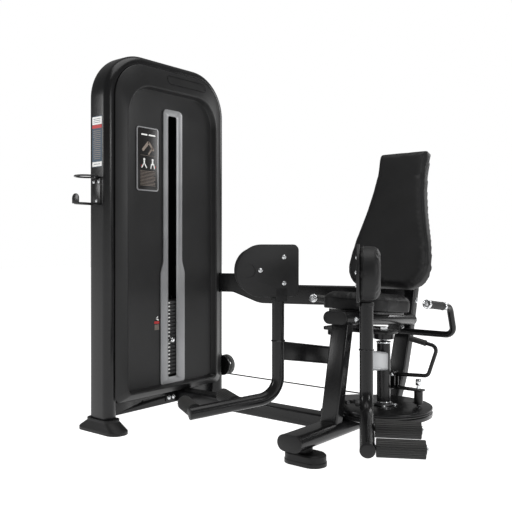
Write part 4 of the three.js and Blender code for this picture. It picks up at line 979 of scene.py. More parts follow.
rail = bent_tube("seat_rail_tube", rail_tube,
                 [rail_front + rail_way * cap_depth, rail_front + rail_way * 0.548], X)
post_cutter = bent_tube("cutter", with_room(post_tube, 0), [(0, 0.600, 0.1022), *post_route[1:]], X,
                        bend=0.3)
carve(rail, post_cutter)
seat_board = slab("seat_board", 0.210, 0.230, 0.020, 0.010,
                  rail_front + rail_way * 0.2195 + rail_up * 0.0212, X, rail_way, edge=0.001)
fit(one_piece("seat_rail_with_board", soften(rail, 0.0008), seat_board), powder_coat, "frame",
    "powder_black", "seat_rail")

cross_beam = bent_tube("cross_beam_tube", cross_tube, [(-0.8317, 0.242, 0.0845), (-0.030, 0.242, 0.0845)],
                       Y)
carve(cross_beam, bent_tube("cutter", with_room(beam_tube, 0), beam_route, X))
fit(soften(cross_beam, 0.0008), powder_coat, "frame", "powder_black", "floor_cross_beam")

leg = bent_tube("front_leg_tube", leg_tube, [leg_at(0.090), leg_at(0.474)], X)
carve(leg, bent_tube("cutter", with_room(beam_tube, 0), beam_route, X),
      bent_tube("cutter", with_room(rail_tube, 0),
                [rail_front - rail_way * 0.02, rail_front + rail_way * 0.5], X))
fit(soften(leg, 0.0008), powder_coat, "frame", "powder_black", "front_leg")

# The rear post leans back in easy bends; two short struts carry the back board on it.
back_foot = Vector((0, 0.522, 0.567))
back_lean = math.radians(17.5)
back_up = Vector((0, math.sin(back_lean), math.cos(back_lean)))
back_rear = Vector((0, math.cos(back_lean), -math.sin(back_lean)))
back_thick = 0.058
post = bent_tube("rear_post_tube", post_tube,
                 [*post_route[:4], Vector(post_route[4]) - Vector((0, 0.0016, 0.0058))], X, bend=0.3,
                 steps=6)
struts = []
for height in (0.120, 0.235):
    start = back_foot + back_up * height + back_rear * (back_thick + 0.0095)
    strut = bent_tube("strut", (0.050, 0.040, 0.006), [start, start + back_rear * 0.160], X)
    carve(strut, bent_tube("cutter", post_tube, post_route, X, bend=0.3, steps=6))
    struts.append(strut)
rear_post = one_piece("rear_post_with_struts", post, *struts)
fit(soften(rear_post, 0.0008), powder_coat, "frame", "powder_black", "rear_post")

link = bent_tube("link_beam_tube", link_tube,
                 [link_at(-0.02, 0.567), link_at(0.09, 0.567), link_at(0.24, 0.519), link_at(0.985, 0.519)],
                 link_side, bend=0.09, steps=6)
carve(link,
      bent_tube("cutter", (hoop_tube[0], hoop_tube[1], 0.030),
                [(tower_x, rear_post_y, 0.3), (tower_x, rear_post_y, 0.9)], X),
      bent_tube("cutter", post_tube, post_route, X, bend=0.3, steps=6))
fit(soften(link, 0.0008), powder_coat, "frame", "powder_black", "upper_link_beam")

# Black plastic plugs close the open ends of the tubes.
def plug(name, section, origin, x_axis, y_axis, depth=0.007, edge=0.003):
    width, height, corner = section
    cap = slab(name, width + 0.0012, height + 0.0012, corner + 0.0006, depth, origin, x_axis, y_axis,
               edge=edge)
    return fit(cap, moulded_black, "frame", "plastic_black")


plug("main_beam_front_plug", beam_tube, Vector(beam_route[0]), Z, -X)
plug("main_beam_rear_plug", beam_tube, Vector(beam_route[1]), Z, X)
plug("seat_rail_front_plug", rail_tube, rail_front + rail_way * cap_depth, rail_up, -X, depth=0.010,
     edge=0.005)
plug("rear_post_plug", post_tube, Vector(post_route[4]) - Vector((0, 0.0016, 0.0058)),
     Vector((0, -0.9625, 0.271)), X, depth=0.005, edge=0.002)

# Rubber feet: an oval pad with a sloping top on a steel neck under the main beam.
for name, node_name, y in (("front_foot_pad", "front_foot", 0.0), ("rear_foot_pad", "rear_foot", 0.600)):
    low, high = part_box(node_name)
    rounded_face(high.x - low.x, high.y - low.y, 1, segments=12)
    bpy.ops.mesh.select_all(action="SELECT")
    lengthen((0, 0, 0.013))
    lengthen((0, 0, 0.002), (0.975, 0.96, 1))
    lengthen((0, 0, 0.019))
    lengthen((0, 0, 0.005), (0.93, 0.90, 1))
    outward_faces()
    pad = soften(stand((0, y, 0), X, Y), 0.0015, 2, angle=12)
    neck = turned("neck", [(0.025, 0.037), (0.025, 0.0578)], (0, y, 0), Z, 36)
    foot = one_piece(name, pad, neck)
    bpy.ops.object.shade_smooth_by_angle(angle=math.radians(40))
    fit(foot, moulded_black, "frame", "plastic_black", node_name)

bolts("seat_frame_bolts", "frame", [
    ((0.0353, 0.7715, 0.566), X), ((0.0353, 0.7570, 0.505), X), ((-0.0353, 0.7715, 0.566), -X),
    ((-0.0353, 0.7570, 0.505), -X),
    (rail_front + rail_way * 0.060 + X * 0.0502 - rail_up * 0.002, X),
    (rail_front + rail_way * 0.060 - X * 0.0502 - rail_up * 0.002, -X),
    ((0.049, 0.300, 0.086), X), ((0.049, 0.414, 0.086), X)])

# ---- seat and back cushions ---------------------------------------------------------------------
# Moulded foam under stretched black vinyl with a fine pebble grain, stapled to a board. Each cover
# has a front panel sewn to a side band, with a thin cord in the seam.

pebble, given, result = group_tree("Vinyl pebble", {"Scale": 420.0}, ("Height", "Tone"))
where = node(pebble, "ShaderNodeTexCoord").outputs["Object"]
cells = node(pebble, "ShaderNodeTexVoronoi", {"Vector": where, "Scale": given["Scale"]},
             feature="SMOOTH_F1")
creases = node(pebble, "ShaderNodeTexNoise", {"Vector": where, "Scale": 38.0, "Detail": 5.0})
sum_height = node(pebble, "ShaderNodeMath", {0: cells.outputs["Distance"], 1: creases.outputs["Fac"]},
                  operation="ADD")
folds = node(pebble, "ShaderNodeTexNoise", {"Vector": where, "Scale": 7.0, "Detail": 3.0})
pebble.links.new(sum_height.outputs[0], result["Height"])
pebble.links.new(folds.outputs["Fac"], result["Tone"])

vinyl = bpy.data.materials.new("Black vinyl")
vinyl.use_nodes = True
tree = vinyl.node_tree
shader = tree.nodes["Principled BSDF"]
shader.inputs["Specular IOR Level"].default_value = 0.3
leather = node(tree, "ShaderNodeGroup", node_tree=pebble)
tone = node(tree, "ShaderNodeMapRange",
            {"Value": leather.outputs["Tone"], "From Min": 0.35, "From Max": 0.65})
colour = mixed(tree, tone.outputs[0], (0.0055, 0.0055, 0.0058), (0.0085, 0.0085, 0.0089))
film = node(tree, "ShaderNodeGroup", node_tree=dust)
film.inputs["Amount"].default_value = 0.03
colour = mixed(tree, film.outputs["Mask"], colour, (0.3, 0.3, 0.29))
tree.links.new(colour, shader.inputs["Base Color"])
gloss = node(tree, "ShaderNodeMapRange", {"Value": leather.outputs["Tone"], "To Min": 0.46, "To Max": 0.58})
tree.links.new(gloss.outputs[0], shader.inputs["Roughness"])
bump = node(tree, "ShaderNodeBump",
            {"Height": leather.outputs["Height"], "Strength": 0.22, "Distance": 0.0006})
tree.links.new(bump.outputs["Normal"], shader.inputs["Normal"])


def stuffed(piece, most, voxel=0.005):
    """Fills a closed cover with foam: local z is the way up from the board, which stays flat.
    The cloth may move no further than the given distance."""
    deselect()
    bpy.context.view_layer.objects.active = piece
    piece.select_set(True)
    remesh = piece.modifiers.new("Even mesh", "REMESH")
    remesh.mode, remesh.voxel_size = "VOXEL", voxel
    bpy.ops.object.modifier_apply(modifier=remesh.name)
    smooth = piece.modifiers.new("Relax", "SMOOTH")
    smooth.iterations = 2
    bpy.ops.object.modifier_apply(modifier=smooth.name)
    start = [point.co.copy() for point in piece.data.vertices]
    cloth = piece.modifiers.new("Cover", "CLOTH")
    cloth.settings.quality = 4
    cloth.settings.use_pressure = True
    cloth.settings.uniform_pressure_force = 4
    cloth.settings.effector_weights.gravity = 0
    cloth.point_cache.frame_start, cloth.point_cache.frame_end = 1, 20
    for frame_number in range(1, 21):
        bpy.context.scene.frame_set(frame_number)
    bpy.ops.object.modifier_apply(modifier=cloth.name)
    bpy.context.scene.frame_set(1)
    for point, rest in zip(piece.data.vertices, start):
        step = point.co - rest
        if step.length > most:
            step *= most / step.length
        rise = min(1.0, max(0.0, rest.z / 0.012))
        point.co = rest + Vector((step.x, step.y, step.z * rise))
    finer = piece.modifiers.new("Finer", "SUBSURF")
    finer.levels = finer.render_levels = 1
    bpy.ops.object.modifier_apply(modifier=finer.name)
    bpy.ops.object.shade_smooth()
    return piece


def seam(name, outline, piece, radius=0.0011):
    """A sewn cord that follows an outline, a closed line of points, on the surface of the cushion."""
    deselect()
    bpy.ops.mesh.primitive_circle_add(vertices=len(outline), radius=1)
    line = bpy.context.object
    for point, place in zip(line.data.vertices, outline):
        point.co = place
    wrap = line.modifiers.new("On the cover", "SHRINKWRAP")
    wrap.target, wrap.wrap_method, wrap.offset = piece, "NEAREST_SURFACEPOINT", radius * 0.25
    bpy.ops.object.modifier_apply(modifier=wrap.name)
    bpy.ops.object.convert(target="CURVE")
    line.data.bevel_depth, line.data.bevel_resolution = radius, 2
    bpy.ops.object.convert(target="MESH")
    bpy.ops.object.shade_smooth()
    line.name = name
    return line


def round_outline(width, height, radius, z, centre=(0, 0), steps=12):
    """Points round a rectangle with rounded corners, all at height z."""
    outline = []
    for quarter in range(4):
        sign_x, sign_y = ((1, 1), (-1, 1), (-1, -1), (1, -1))[quarter]
        for step in range(steps + 1):
            angle = math.pi / 2 * (quarter + step / steps)
            outline.append(Vector((centre[0] + sign_x * (width / 2 - radius) + radius * math.cos(angle),
                                   centre[1] + sign_y * (height / 2 - radius) + radius * math.sin(angle),
                                   z)))
    return outline


seat_width, seat_length = 0.286, 0.275
swell = 0.0025
rounded_face(seat_width - 2 * swell, seat_length - 2 * swell, 0.056, segments=10)
bpy.ops.mesh.select_all(action="SELECT")
lengthen((0, 0, 0.010))
lengthen((0, 0, 0.026))
lengthen((0, 0, 0.014), (0.93, 0.93, 1))
lengthen((0, 0, 0.007), (0.86, 0.86, 1))
outward_faces()
seat = stuffed(bpy.context.object, 0.008)
seat_seam = seam("seat_seam", round_outline(0.274, 0.263, 0.054, 0.043), seat)
seat_origin = rail_front + rail_way * 0.2195 + rail_up * 0.0324
for piece, name in ((seat, "seat_cushion_cover"), (seat_seam, "seat_cushion_seam")):
    deselect()
    piece.select_set(True)
    bpy.context.view_layer.objects.active = piece
    stand(seat_origin, X, rail_way)
    piece.name = name
fit(seat, vinyl, "frame", "upholstery", "seat_cushion")
fit(seat_seam, vinyl, "frame", "upholstery")

# The back cushion is widest at the hips and narrows in a long curve to the shoulders; its sides
# slope away from the front panel.
back_height = 0.596
back_profile = ((0.0, 0.110), (0.02, 0.140), (0.05, 0.163), (0.10, 0.180), (0.155, 0.184), (0.25, 0.179),
                (0.34, 0.170), (0.44, 0.155),
                (0.56, 0.138), (0.70, 0.123), (0.84, 0.114), (0.95, 0.111), (0.99, 0.110), (1.0, 0.106))


def back_half_width(share):
    """Half the width of the back cushion at a share of its height."""
    for (low_share, low_width), (high_share, high_width) in zip(back_profile, back_profile[1:]):
        if share <= high_share:
            return low_width + (high_width - low_width) * (share - low_share) / (high_share - low_share)
    return back_profile[-1][1]


def back_shape(inset, depths, rows=48, columns=24):
    """A closed block in the outline of the back. Each (rise, shrink) pair lifts the front and pulls it in."""
    deselect()
    bpy.ops.mesh.primitive_grid_add(x_subdivisions=columns, y_subdivisions=rows, size=1)
    shape = bpy.context.object
    for point in shape.data.vertices:
        share = min(1.0, max(0.0, point.co.y + 0.5))
        point.co = Vector((2 * point.co.x * (back_half_width(share) - inset),
                           inset + share * (back_height - 2 * inset), 0))
    bpy.ops.object.mode_set(mode="EDIT")
    bpy.ops.mesh.select_all(action="SELECT")
    for rise, shrink in depths:
        bpy.ops.mesh.extrude_region_move(TRANSFORM_OT_translate={"value": (0, 0, rise)})
        if shrink:
            bpy.ops.transform.resize(value=(1 - shrink / 0.15, 1 - shrink / (back_height / 2), 1),
                                     center_override=(0, back_height / 2, 0))
    outward_faces()
    return shape


back = stuffed(back_shape(0.0015, ((0.012, 0), (0.026, 0), (0.013, 0.010), (0.005, 0.005))), 0.008,
               voxel=0.0055)
front_edge = [Vector((side * (back_half_width(share) - 0.0155), 0.012 + share * (back_height - 0.024),
                      0.050))
              for side,
              shares in ((1, [i / 40 for i in range(1, 40)]), (-1, [1 - i / 40 for i in range(1, 40)]))
              for share in shares]
back_seam = seam("back_seam", front_edge, back)
back_board = back_shape(0.018, ((0.008, 0),), rows=40, columns=4)
soften(back_board, 0.002, 2)
front_plane = back_foot + back_rear * (back_thick - 0.0005)
for piece, name, origin in ((back, "back_cushion_cover", front_plane),
                            (back_seam, "back_cushion_seam", front_plane),
                            (back_board, "back_board", back_foot + back_rear * (back_thick + 0.0090))):
    deselect()
    piece.select_set(True)
    bpy.context.view_layer.objects.active = piece
    stand(origin, X, back_up)
    piece.name = name
fit(back, vinyl, "frame", "upholstery", "back_cushion")
fit(back_seam, vinyl, "frame", "upholstery")
fit(back_board, moulded_black, "frame", "plastic_black", "back_plate")

# ---- handlebar ----------------------------------------------------------------------------------
# One bent round tube that passes under the seat rail in a saddle, with a rubber grip, a bright end
# cap and a bright collar on each side of the seat.

bar_tube = (0.025, 0.025, 0.0125)
bar_front, bar_bend, bar_cross = Vector((0.248, 0.408, 0.523)), Vector((0.248, 0.604,
                                                                        0.500)), Vector((0.248, 0.645,
                                                                                         0.388))
bar_way = (bar_bend - bar_front).normalized()
flip = lambda p: Vector((-p.x, p.y, p.z))
grip_start, grip_length = 0.012, 0.118
first = bar_front + bar_way * 0.008
bar = bent_tube("handlebar_tube", bar_tube,
                [first, bar_bend, bar_cross, flip(bar_cross), flip(bar_bend), flip(first)], X, bend=0.036,
                steps=12)
saddle = slab("saddle", 0.056, 0.040, 0.006, 0.045, (0, 0.645, 0.380), X, Y, edge=0.002)
carve(saddle,
      bent_tube("cutter", with_room(rail_tube, 0.0002), [rail_front, rail_front + rail_way * 0.56], X))
bar = one_piece("handlebar_tube", bar, saddle)
bpy.ops.object.shade_smooth_by_angle(angle=math.radians(40))
fit(bar, powder_coat, "frame", "powder_black", "handlebar")

for name, place in (("left", lambda p: p), ("right", flip)):
    toward = place(bar_way)
    at = lambda distance: place(bar_front + bar_way * distance)
    profile = [(0.0129, grip_start), (0.0146, grip_start), (0.0162, grip_start + 0.002),
               (0.0162, grip_start + 0.006), (0.0150, grip_start + 0.009)]
    ribs = 14
    pitch = (grip_length - 0.026) / ribs
    for rib in range(ribs):
        base = grip_start + 0.012 + rib * pitch
        profile += [(0.0150, base), (0.0145, base + 0.0008), (0.0145, base + 0.0016),
                    (0.0150, base + 0.0024)]
    profile += [(0.0150, grip_start + grip_length - 0.006), (0.0158, grip_start + grip_length - 0.003),
                (0.0150, grip_start + grip_length),
                (0.0129, grip_start + grip_length), (0.0129, grip_start)]
    sleeve = turned(name + "_grip_sleeve", profile, place(bar_front), toward, 32, bored=True)
    fit(sleeve, soft_rubber, "frame", "rubber", name + "_grip")
    cap = turned(name + "_grip_end",
                 [(0.0040, -0.0040), (0.0075, -0.0040), (0.0080, -0.0032), (0.0110, -0.0032),
                  (0.0116, -0.0040), (0.0150, -0.0036),
                                      (0.0166, -0.0022), (0.0170, 0.0), (0.0170, 0.0055), (0.0160, 0.0076)],
                 place(bar_front), toward, 48)
    fit(cap, chrome, "frame", "chrome", name + "_grip_cap")
    collar = turned(name + "_grip_collar",
                    [(0.0128, 0.1312), (0.0158, 0.1312), (0.0165, 0.1320), (0.0165, 0.1440),
                     (0.0158, 0.1448), (0.0128, 0.1448),
                                            (0.0128, 0.1312)], place(bar_front), toward, 40, bored=True)
    fit(collar, chrome, "frame", "chrome")
bolts("grip_end_screws", "frame",
      [(flip(bar_front) - flip(bar_way) * 0.0036, -flip(bar_way)),
       (bar_front - bar_way * 0.0036, -bar_way)], 0.62)

# ---- swing arms ---------------------------------------------------------------------------------
# Each arm turns on an upright pivot tube: a box tube link, a bent round tube that carries the pad at
# its top, and two pegs for the foot rollers at its low end. The right arm mirrors the left.

silver_paint = finish("Silver grey paint", (0.30, 0.31, 0.32), (0.37, 0.38, 0.39), (0.3, 0.42), metal=0.45,
                      pimple=1300, relief=0.08, worn=(0.12, 0.12, 0.12), wear=0.5, dusty=0.15)
forward, outward = Vector((0.5, -0.866, 0)).normalized(), Vector((0.866, 0.5, 0)).normalized()
pivot_x, pivot_y = 0.100, 0.357
arm_radius = 0.0225
arm_top, arm_bend = Vector((0.183, 0.089, 0.532)), Vector((0.183, 0.089, 0.187))
arm_end = Vector((0.351, -0.195, 0.150))
peg_length = 0.1655
plunger_foot = (0.212, 0.413, 0)
lever_hub = (0.113, 0.413, 0.256)


def mirrored(piece, name):
    """A mirror copy of a piece of the left arm, for the right one."""
    copy = twin(piece, name)
    bpy.ops.object.mode_set(mode="EDIT")
    bpy.ops.mesh.select_mode(type="FACE")
    bpy.ops.mesh.select_all(action="SELECT")
    bpy.ops.transform.resize(value=(-1, 1, 1), center_override=(0, 0, 0))
    outward_faces()
    return copy


def both_arms(piece, name, material, slot, node_end=None, right_material=None, body_end="arm"):
    """Fits a piece to the left side and its mirror copy to the right one."""
    copy = mirrored(piece, "right_" + name)
    piece.name = "left_" + name
    for each, side, coat in ((piece, "left_", material), (copy, "right_", right_material or material)):
        fit(each, coat, side + body_end, slot, *([side + node_end] if node_end else []))
    return piece, copy


link_from, link_to = Vector((pivot_x, pivot_y, 0.309)), Vector((arm_top.x, arm_top.y, 0.354))
level = Vector((link_to.y - link_from.y, link_from.x - link_to.x, 0)).normalized()
arm_link = bent_tube("arm_link_tube", (0.066, 0.040, 0.008), [link_from, link_to], level)
carve(arm_link, turned("cutter", [(0.0253, 0.20), (0.0253, 0.40)], (pivot_x, pivot_y, 0), Z, 48),
      turned("cutter", [(0.0228, 0.20), (0.0228, 0.50)], (arm_top.x, arm_top.y, 0), Z, 48))
# The cuts leave the ends of the link loose inside the round tubes; only the length between them stays.
deselect()
bpy.context.view_layer.objects.active = arm_link
arm_link.select_set(True)
bpy.ops.object.mode_set(mode="EDIT")
bpy.ops.mesh.separate(type="LOOSE")
bpy.ops.object.mode_set(mode="OBJECT")
shells = sorted(bpy.context.selected_objects, key=lambda shell: max(shell.dimensions))
for shell in shells[:-1]:
    bpy.data.objects.remove(shell)
arm_link = soften(shells[-1], 0.001)
both_arms(arm_link, "arm_link_tube", silver_paint, "silver_paint", "arm_link", right_material=powder_coat)

low_way = (arm_end - arm_bend).normalized()
round_tube = bent_tube("arm_tube", (2 * arm_radius, 2 * arm_radius, arm_radius),
                       [arm_top, arm_bend, arm_end], outward, bend=0.080, steps=16)
bpy.ops.object.shade_smooth_by_angle(angle=math.radians(40))
peg_spots = [arm_end - low_way * 0.024, arm_end - low_way * 0.174]
pegs = [turned("peg", [(0.0084, 0.0), (0.0084, peg_length - 0.001), (0.0078, peg_length)], spot, outward, 28)
        for spot in peg_spots]
weld = turned("weld", [(0.0256, 0.0), (0.0262, 0.0016), (0.0240, 0.0042), (0.0228, 0.0050)],
              (arm_top.x, arm_top.y, 0.3870), Z, 40)
round_tube = one_piece("arm_tube", round_tube, *pegs, weld)
bpy.ops.object.shade_smooth_by_angle(angle=math.radians(40))
both_arms(round_tube, "arm_round_tube", powder_coat, "powder_black", "arm_tube")
end_plug = turned("end_plug",
                  [(0.0230, -0.0006), (0.0230, 0.0016), (0.0210, 0.0036), (0.0150, 0.0046),
                   (0.0060, 0.0050)], arm_end, low_way, 40)
both_arms(end_plug, "arm_end_plug", moulded_black, "plastic_black")

for name, sign in (("left", 1), ("right", -1)):
    tube = turned("pivot",
                  [(0.0240, 0.1583), (0.0250, 0.1593), (0.0250, 0.3815), (0.0235, 0.3830), (0.0120, 0.3830),
                   (0.0120, 0.4110)],
                  (sign * pivot_x, pivot_y, 0), Z, 48)
    parts = [tube]
    if sign > 0:
        shelf = slab("shelf", 0.142, 0.036, 0.006, 0.006, (0.161, 0.413, 0.205), X, Y, edge=0.0008)
        carve(shelf, turned("hole", [(0.0077, 0.19), (0.0077, 0.24)], plunger_foot, Z, 28))
        web = slab("web", 0.034, 0.074, 0.004, 0.006, (0.107, 0.394, 0.205), X, Y, edge=0.0008)
        parts += [shelf, web]
        for offset in (-0.014, 0.014):
            lug = slab("lug", 0.022, 0.060, 0.0105, 0.005, (0.113, 0.413 + offset + 0.0025, 0.238), X, Z,
                       edge=0.0006)
            carve(lug, turned("hole", [(0.0046, -0.03), (0.0046, 0.03)], lever_hub, Y, 20))
            parts.append(lug)
        parts.append(turned("housing",
                            [(0.0079, 0.1585), (0.0150, 0.1585), (0.0160, 0.1595), (0.0160, 0.2050),
                             (0.0150, 0.2060), (0.0079, 0.2060), (0.0079, 0.1585)],
                            plunger_foot, Z, 40, bored=True))
        tube = one_piece("pivot", *parts)
    tube.name = name + "_pivot_pipe"
    bpy.ops.object.shade_smooth_by_angle(angle=math.radians(40))
    fit(tube, powder_coat, name + "_arm", "powder_black", name + "_pivot_tube")

# Bright steel wear rings at both ends of the pivot tubes.
for height in (0.1590, 0.3770):
    ring = turned("wear_ring",
                  [(0.0248, height), (0.0266, height), (0.0272, height + 0.0008), (0.0272, height + 0.0046),
                   (0.0266, height + 0.0054), (0.0248, height + 0.0054), (0.0248, height)],
                  (pivot_x, pivot_y, 0), Z, 48, bored=True)
    both_arms(ring, "wear_ring_" + ("low" if height < 0.2 else "high"), chrome, "chrome")

# ---- leg pads -----------------------------------------------------------------------------------
# A moulded half round plate on the inner side of the arm tube, held by a collar on the tube's top, with
# a vinyl cushion screwed to its outer face.

pad_height, pad_length, pad_rear, plate_thick = 0.188, 0.238, 0.069, 0.010
pad_centre = Vector((arm_top.x, arm_top.y, 0.644)) - outward * 0.026
pad_middle = pad_centre + forward * (pad_length / 2 - pad_rear)
two_radius_face(pad_height, pad_length, 0.0935, 0.022, 14)
lengthen((0, 0, plate_thick))
outward_faces()
board = soften(stand(pad_middle - outward * plate_thick / 2, Z, forward), 0.0022, 3)
recess = turned("recess", [(0.0232, -0.002), (0.0232, 0.0022)],
                pad_centre + forward * 0.123 - outward * (plate_thick / 2), outward, 40)
carve(board, recess)
neck = slab("neck", 0.060, 0.044, 0.003, plate_thick,
            pad_centre - Z * pad_height / 2 - outward * plate_thick / 2, Z, forward, edge=0.001)
collar = turned("collar", [(0.0236, 0.5324), (0.0250, 0.5338), (0.0250, 0.5440), (0.0232, 0.5460)],
                (arm_top.x, arm_top.y, 0), Z, 40)
carve(neck, slab("cutter", 0.08, 0.08, 0.001, 0.04, (arm_top.x, arm_top.y, 0.4923), X, Y, edge=0))
pad_board = one_piece("pad_board", board, neck, collar)
bpy.ops.object.shade_smooth_by_angle(angle=math.radians(40))
both_arms(pad_board, "pad_board", moulded_black, "plastic_black", "pad_plate")

pad_inset = 0.003
pad_inset += swell
two_radius_face(pad_height - 2 * pad_inset, pad_length - 2 * pad_inset, 0.0885, 0.018, 12)
lengthen((0, 0, 0.012))
lengthen((0, 0, 0.032))
lengthen((0, 0, 0.010), (0.96, 0.97, 1))
lengthen((0, 0, 0.004), (0.95, 0.96, 1))
outward_faces()
pad = stuffed(bpy.context.object, 0.007, voxel=0.0045)
corner_radius, front_radius, piping_height = 0.022, 0.0905, 0.010
corner_along, corner_across, front_along = -0.093, 0.069, 0.026
rear_turn = [math.radians(a) for a in range(0, 91, 10)]
front_turn = [math.radians(a) for a in range(0, 181, 6)]
piping = [Vector((corner_across + corner_radius * math.sin(a), corner_along - corner_radius * math.cos(a),
                  piping_height)) for a in rear_turn]
piping += [Vector((front_radius * math.cos(a), front_along + front_radius * math.sin(a), piping_height))
           for a in front_turn]
piping += [Vector((-corner_across - corner_radius * math.sin(a), corner_along - corner_radius * math.cos(a),
                   piping_height)) for a in reversed(rear_turn)]
pad_seam = seam("pad_seam", piping, pad)
for piece, name in ((pad, "cushion"), (pad_seam, "seam")):
    deselect()
    piece.select_set(True)
    bpy.context.view_layer.objects.active = piece
    stand(pad_middle + outward * (plate_thick / 2 + 0.0006), Z, forward)
left_pad, right_pad = both_arms(pad, "pad_cover", vinyl, "upholstery", "pad_cushion")
both_arms(pad_seam, "pad_piping", vinyl, "upholstery")

plate_face = pad_centre - outward * (plate_thick / 2)
pad_face = lambda along, z: Vector((plate_face.x, plate_face.y, z)) + forward * along
pad_screws = [(pad_face(-0.010, 0.693), -outward), (pad_face(-0.010, 0.599), -outward),
              (pad_face(0.081, 0.646), -outward)]
bolts("left_pad_screws", "left_arm", pad_screws, 0.8)
bolts("right_pad_screws", "right_arm", [(flip(at), flip(way)) for at, way in pad_screws], 0.8)

# ---- foot rollers -------------------------------------------------------------------------------
# Ribbed rubber sleeves that turn freely on the pegs, held by a bright washer and screw.

roller_radius, roller_bore, roller_length, rib_count = 0.027, 0.009, 0.140, 26
rib_root, end_taper, end_round, roller_start = 0.945, 0.93, 0.002, 0.024
deselect()
bpy.ops.mesh.primitive_circle_add(vertices=rib_count * 6, radius=roller_radius, fill_type="NGON")
pick(lambda at: math.cos(rib_count * math.atan2(at.y, at.x)) < -0.4)
bpy.ops.transform.resize(value=(rib_root, rib_root, 1), center_override=(0, 0, 0))
bpy.ops.mesh.select_all(action="SELECT")
bpy.ops.transform.resize(value=(end_taper, end_taper, 1), center_override=(0, 0, 0))
lengthen((0, 0, end_round), (1 / end_taper, 1 / end_taper, 1))
lengthen((0, 0, roller_length - 2 * end_round))
lengthen((0, 0, end_round), (end_taper, end_taper, 1))
outward_faces()
sleeve = bpy.context.object
carve(sleeve, turned("bore", [(roller_bore, -0.01), (roller_bore, 0.16)], (0, 0, 0), Z, 32))
bpy.ops.object.shade_smooth_by_angle(angle=math.radians(35))
for spot, end in zip(peg_spots, ("front_roller", "rear_roller")):
    copy = twin(sleeve, "roller_copy")
    stand(spot + outward * roller_start, Z.cross(outward), Z)
    both_arms(copy, end + "_sleeve", soft_rubber, "rubber", end, body_end=end)
    peg_end = spot + outward * (peg_length + 0.0001)
    washer = turned("washer", [(0.0125, 0.0), (0.0135, 0.0006), (0.0135, 0.0018), (0.0125, 0.0024)],
                    peg_end, outward, 36)
    both_arms(washer, end + "_washer", bright_zinc, "chrome")
    bolts("left_" + end + "_screw", "left_arm", [(peg_end + outward * 0.0016, outward)], 0.8)
    bolts("right_" + end + "_screw", "right_arm", [(flip(peg_end + outward * 0.0016), flip(outward))], 0.8)
bpy.data.objects.remove(sleeve)

# ---- lift cam -----------------------------------------------------------------------------------
# A thick steel disc on the left pivot. The lift cable lies in the groove of its rim, and a row of
# holes in its top face sets where the arm starts.

cam_low, cam_high, cam_radius = 0.114, 0.150, 0.176
cam_groove_z = (cam_low + cam_high) / 2 + 0.005
cam = turned("cam_disc", [
    (0.0128, cam_low), (cam_radius - 0.009, cam_low), (cam_radius - 0.0075, cam_low + 0.0006),
    (cam_radius - 0.0005, cam_low + 0.0044),
    (cam_radius, cam_low + 0.0056), (cam_radius, cam_groove_z - 0.006), (0.1706, cam_groove_z - 0.0034),
    (0.1688, cam_groove_z - 0.0016),
    (0.1684, cam_groove_z), (0.1688, cam_groove_z + 0.0016), (0.1706, cam_groove_z + 0.0034),
    (cam_radius, cam_groove_z + 0.006),
    (cam_radius, cam_high - 0.0026), (cam_radius - 0.0008, cam_high - 0.0008),
    (cam_radius - 0.0026, cam_high), (0.052, cam_high),
    (0.050, cam_high - 0.0015), (0.0128, cam_high - 0.0015), (0.0128, cam_low)], (pivot_x, pivot_y, 0), Z,
             128, bored=True)
range_reach, range_angle = 0.1252, math.degrees(math.atan2(0.056, 0.112))
range_holes = []
for step in range(-2, 3):
    angle = math.radians(range_angle + 14 * step)
    range_holes.append(turned("hole",
                              [(0.008, cam_high - 0.014), (0.008, cam_high - 0.0012),
                               (0.0092, cam_high + 0.0002), (0.0092, cam_high + 0.01)],
                              (pivot_x + range_reach * math.cos(angle),
                               pivot_y + range_reach * math.sin(angle), 0), Z, 28))
carve(cam, *range_holes)
bpy.ops.object.shade_smooth_by_angle(angle=math.radians(35))
fit(cam, powder_coat, "left_arm", "powder_black", "lift_cam")
bolts("cam_bolts", "left_arm",
      [((pivot_x + 0.039 * math.cos(math.radians(a)), pivot_y + 0.039 * math.sin(math.radians(a)),
         cam_high - 0.0014), Z)
                                for a in range(30, 390, 90)], 0.9)
wound = bent_tube("wound_cable", cable_section, [
    Vector((pivot_x, pivot_y, cam_groove_z)) + Vector((math.sin(math.radians(a)), math.cos(math.radians(a)),
                                                       0)) * 0.1718
    for a in range(6, 186, 6)], Z, bend=0.0001, steps=1)
bpy.ops.object.shade_smooth_by_angle(angle=math.radians(60))
fit(wound, cable_coat, "left_arm", "cable_coat")

# Cut steel gear sectors below the pivots, given a cut steel finish with worn edges.
gear_steel = finish("Cut steel", (0.16, 0.16, 0.165), (0.24, 0.24, 0.245), (0.28, 0.42), metal=0.9,
                    pimple=900, relief=0.06, worn=(0.5, 0.5, 0.5), wear=0.6, dusty=0.25)
for node_name in ("left_timing_gear", "right_timing_gear"):
    gear = bpy.data.objects[node_name]
    gear.data.materials.clear()
    gear.data.materials.append(gear_steel)

# ---- top bearings -------------------------------------------------------------------------------
# A plate bolted under the seat rail with a ball bearing at each end, where the pivot tubes turn.

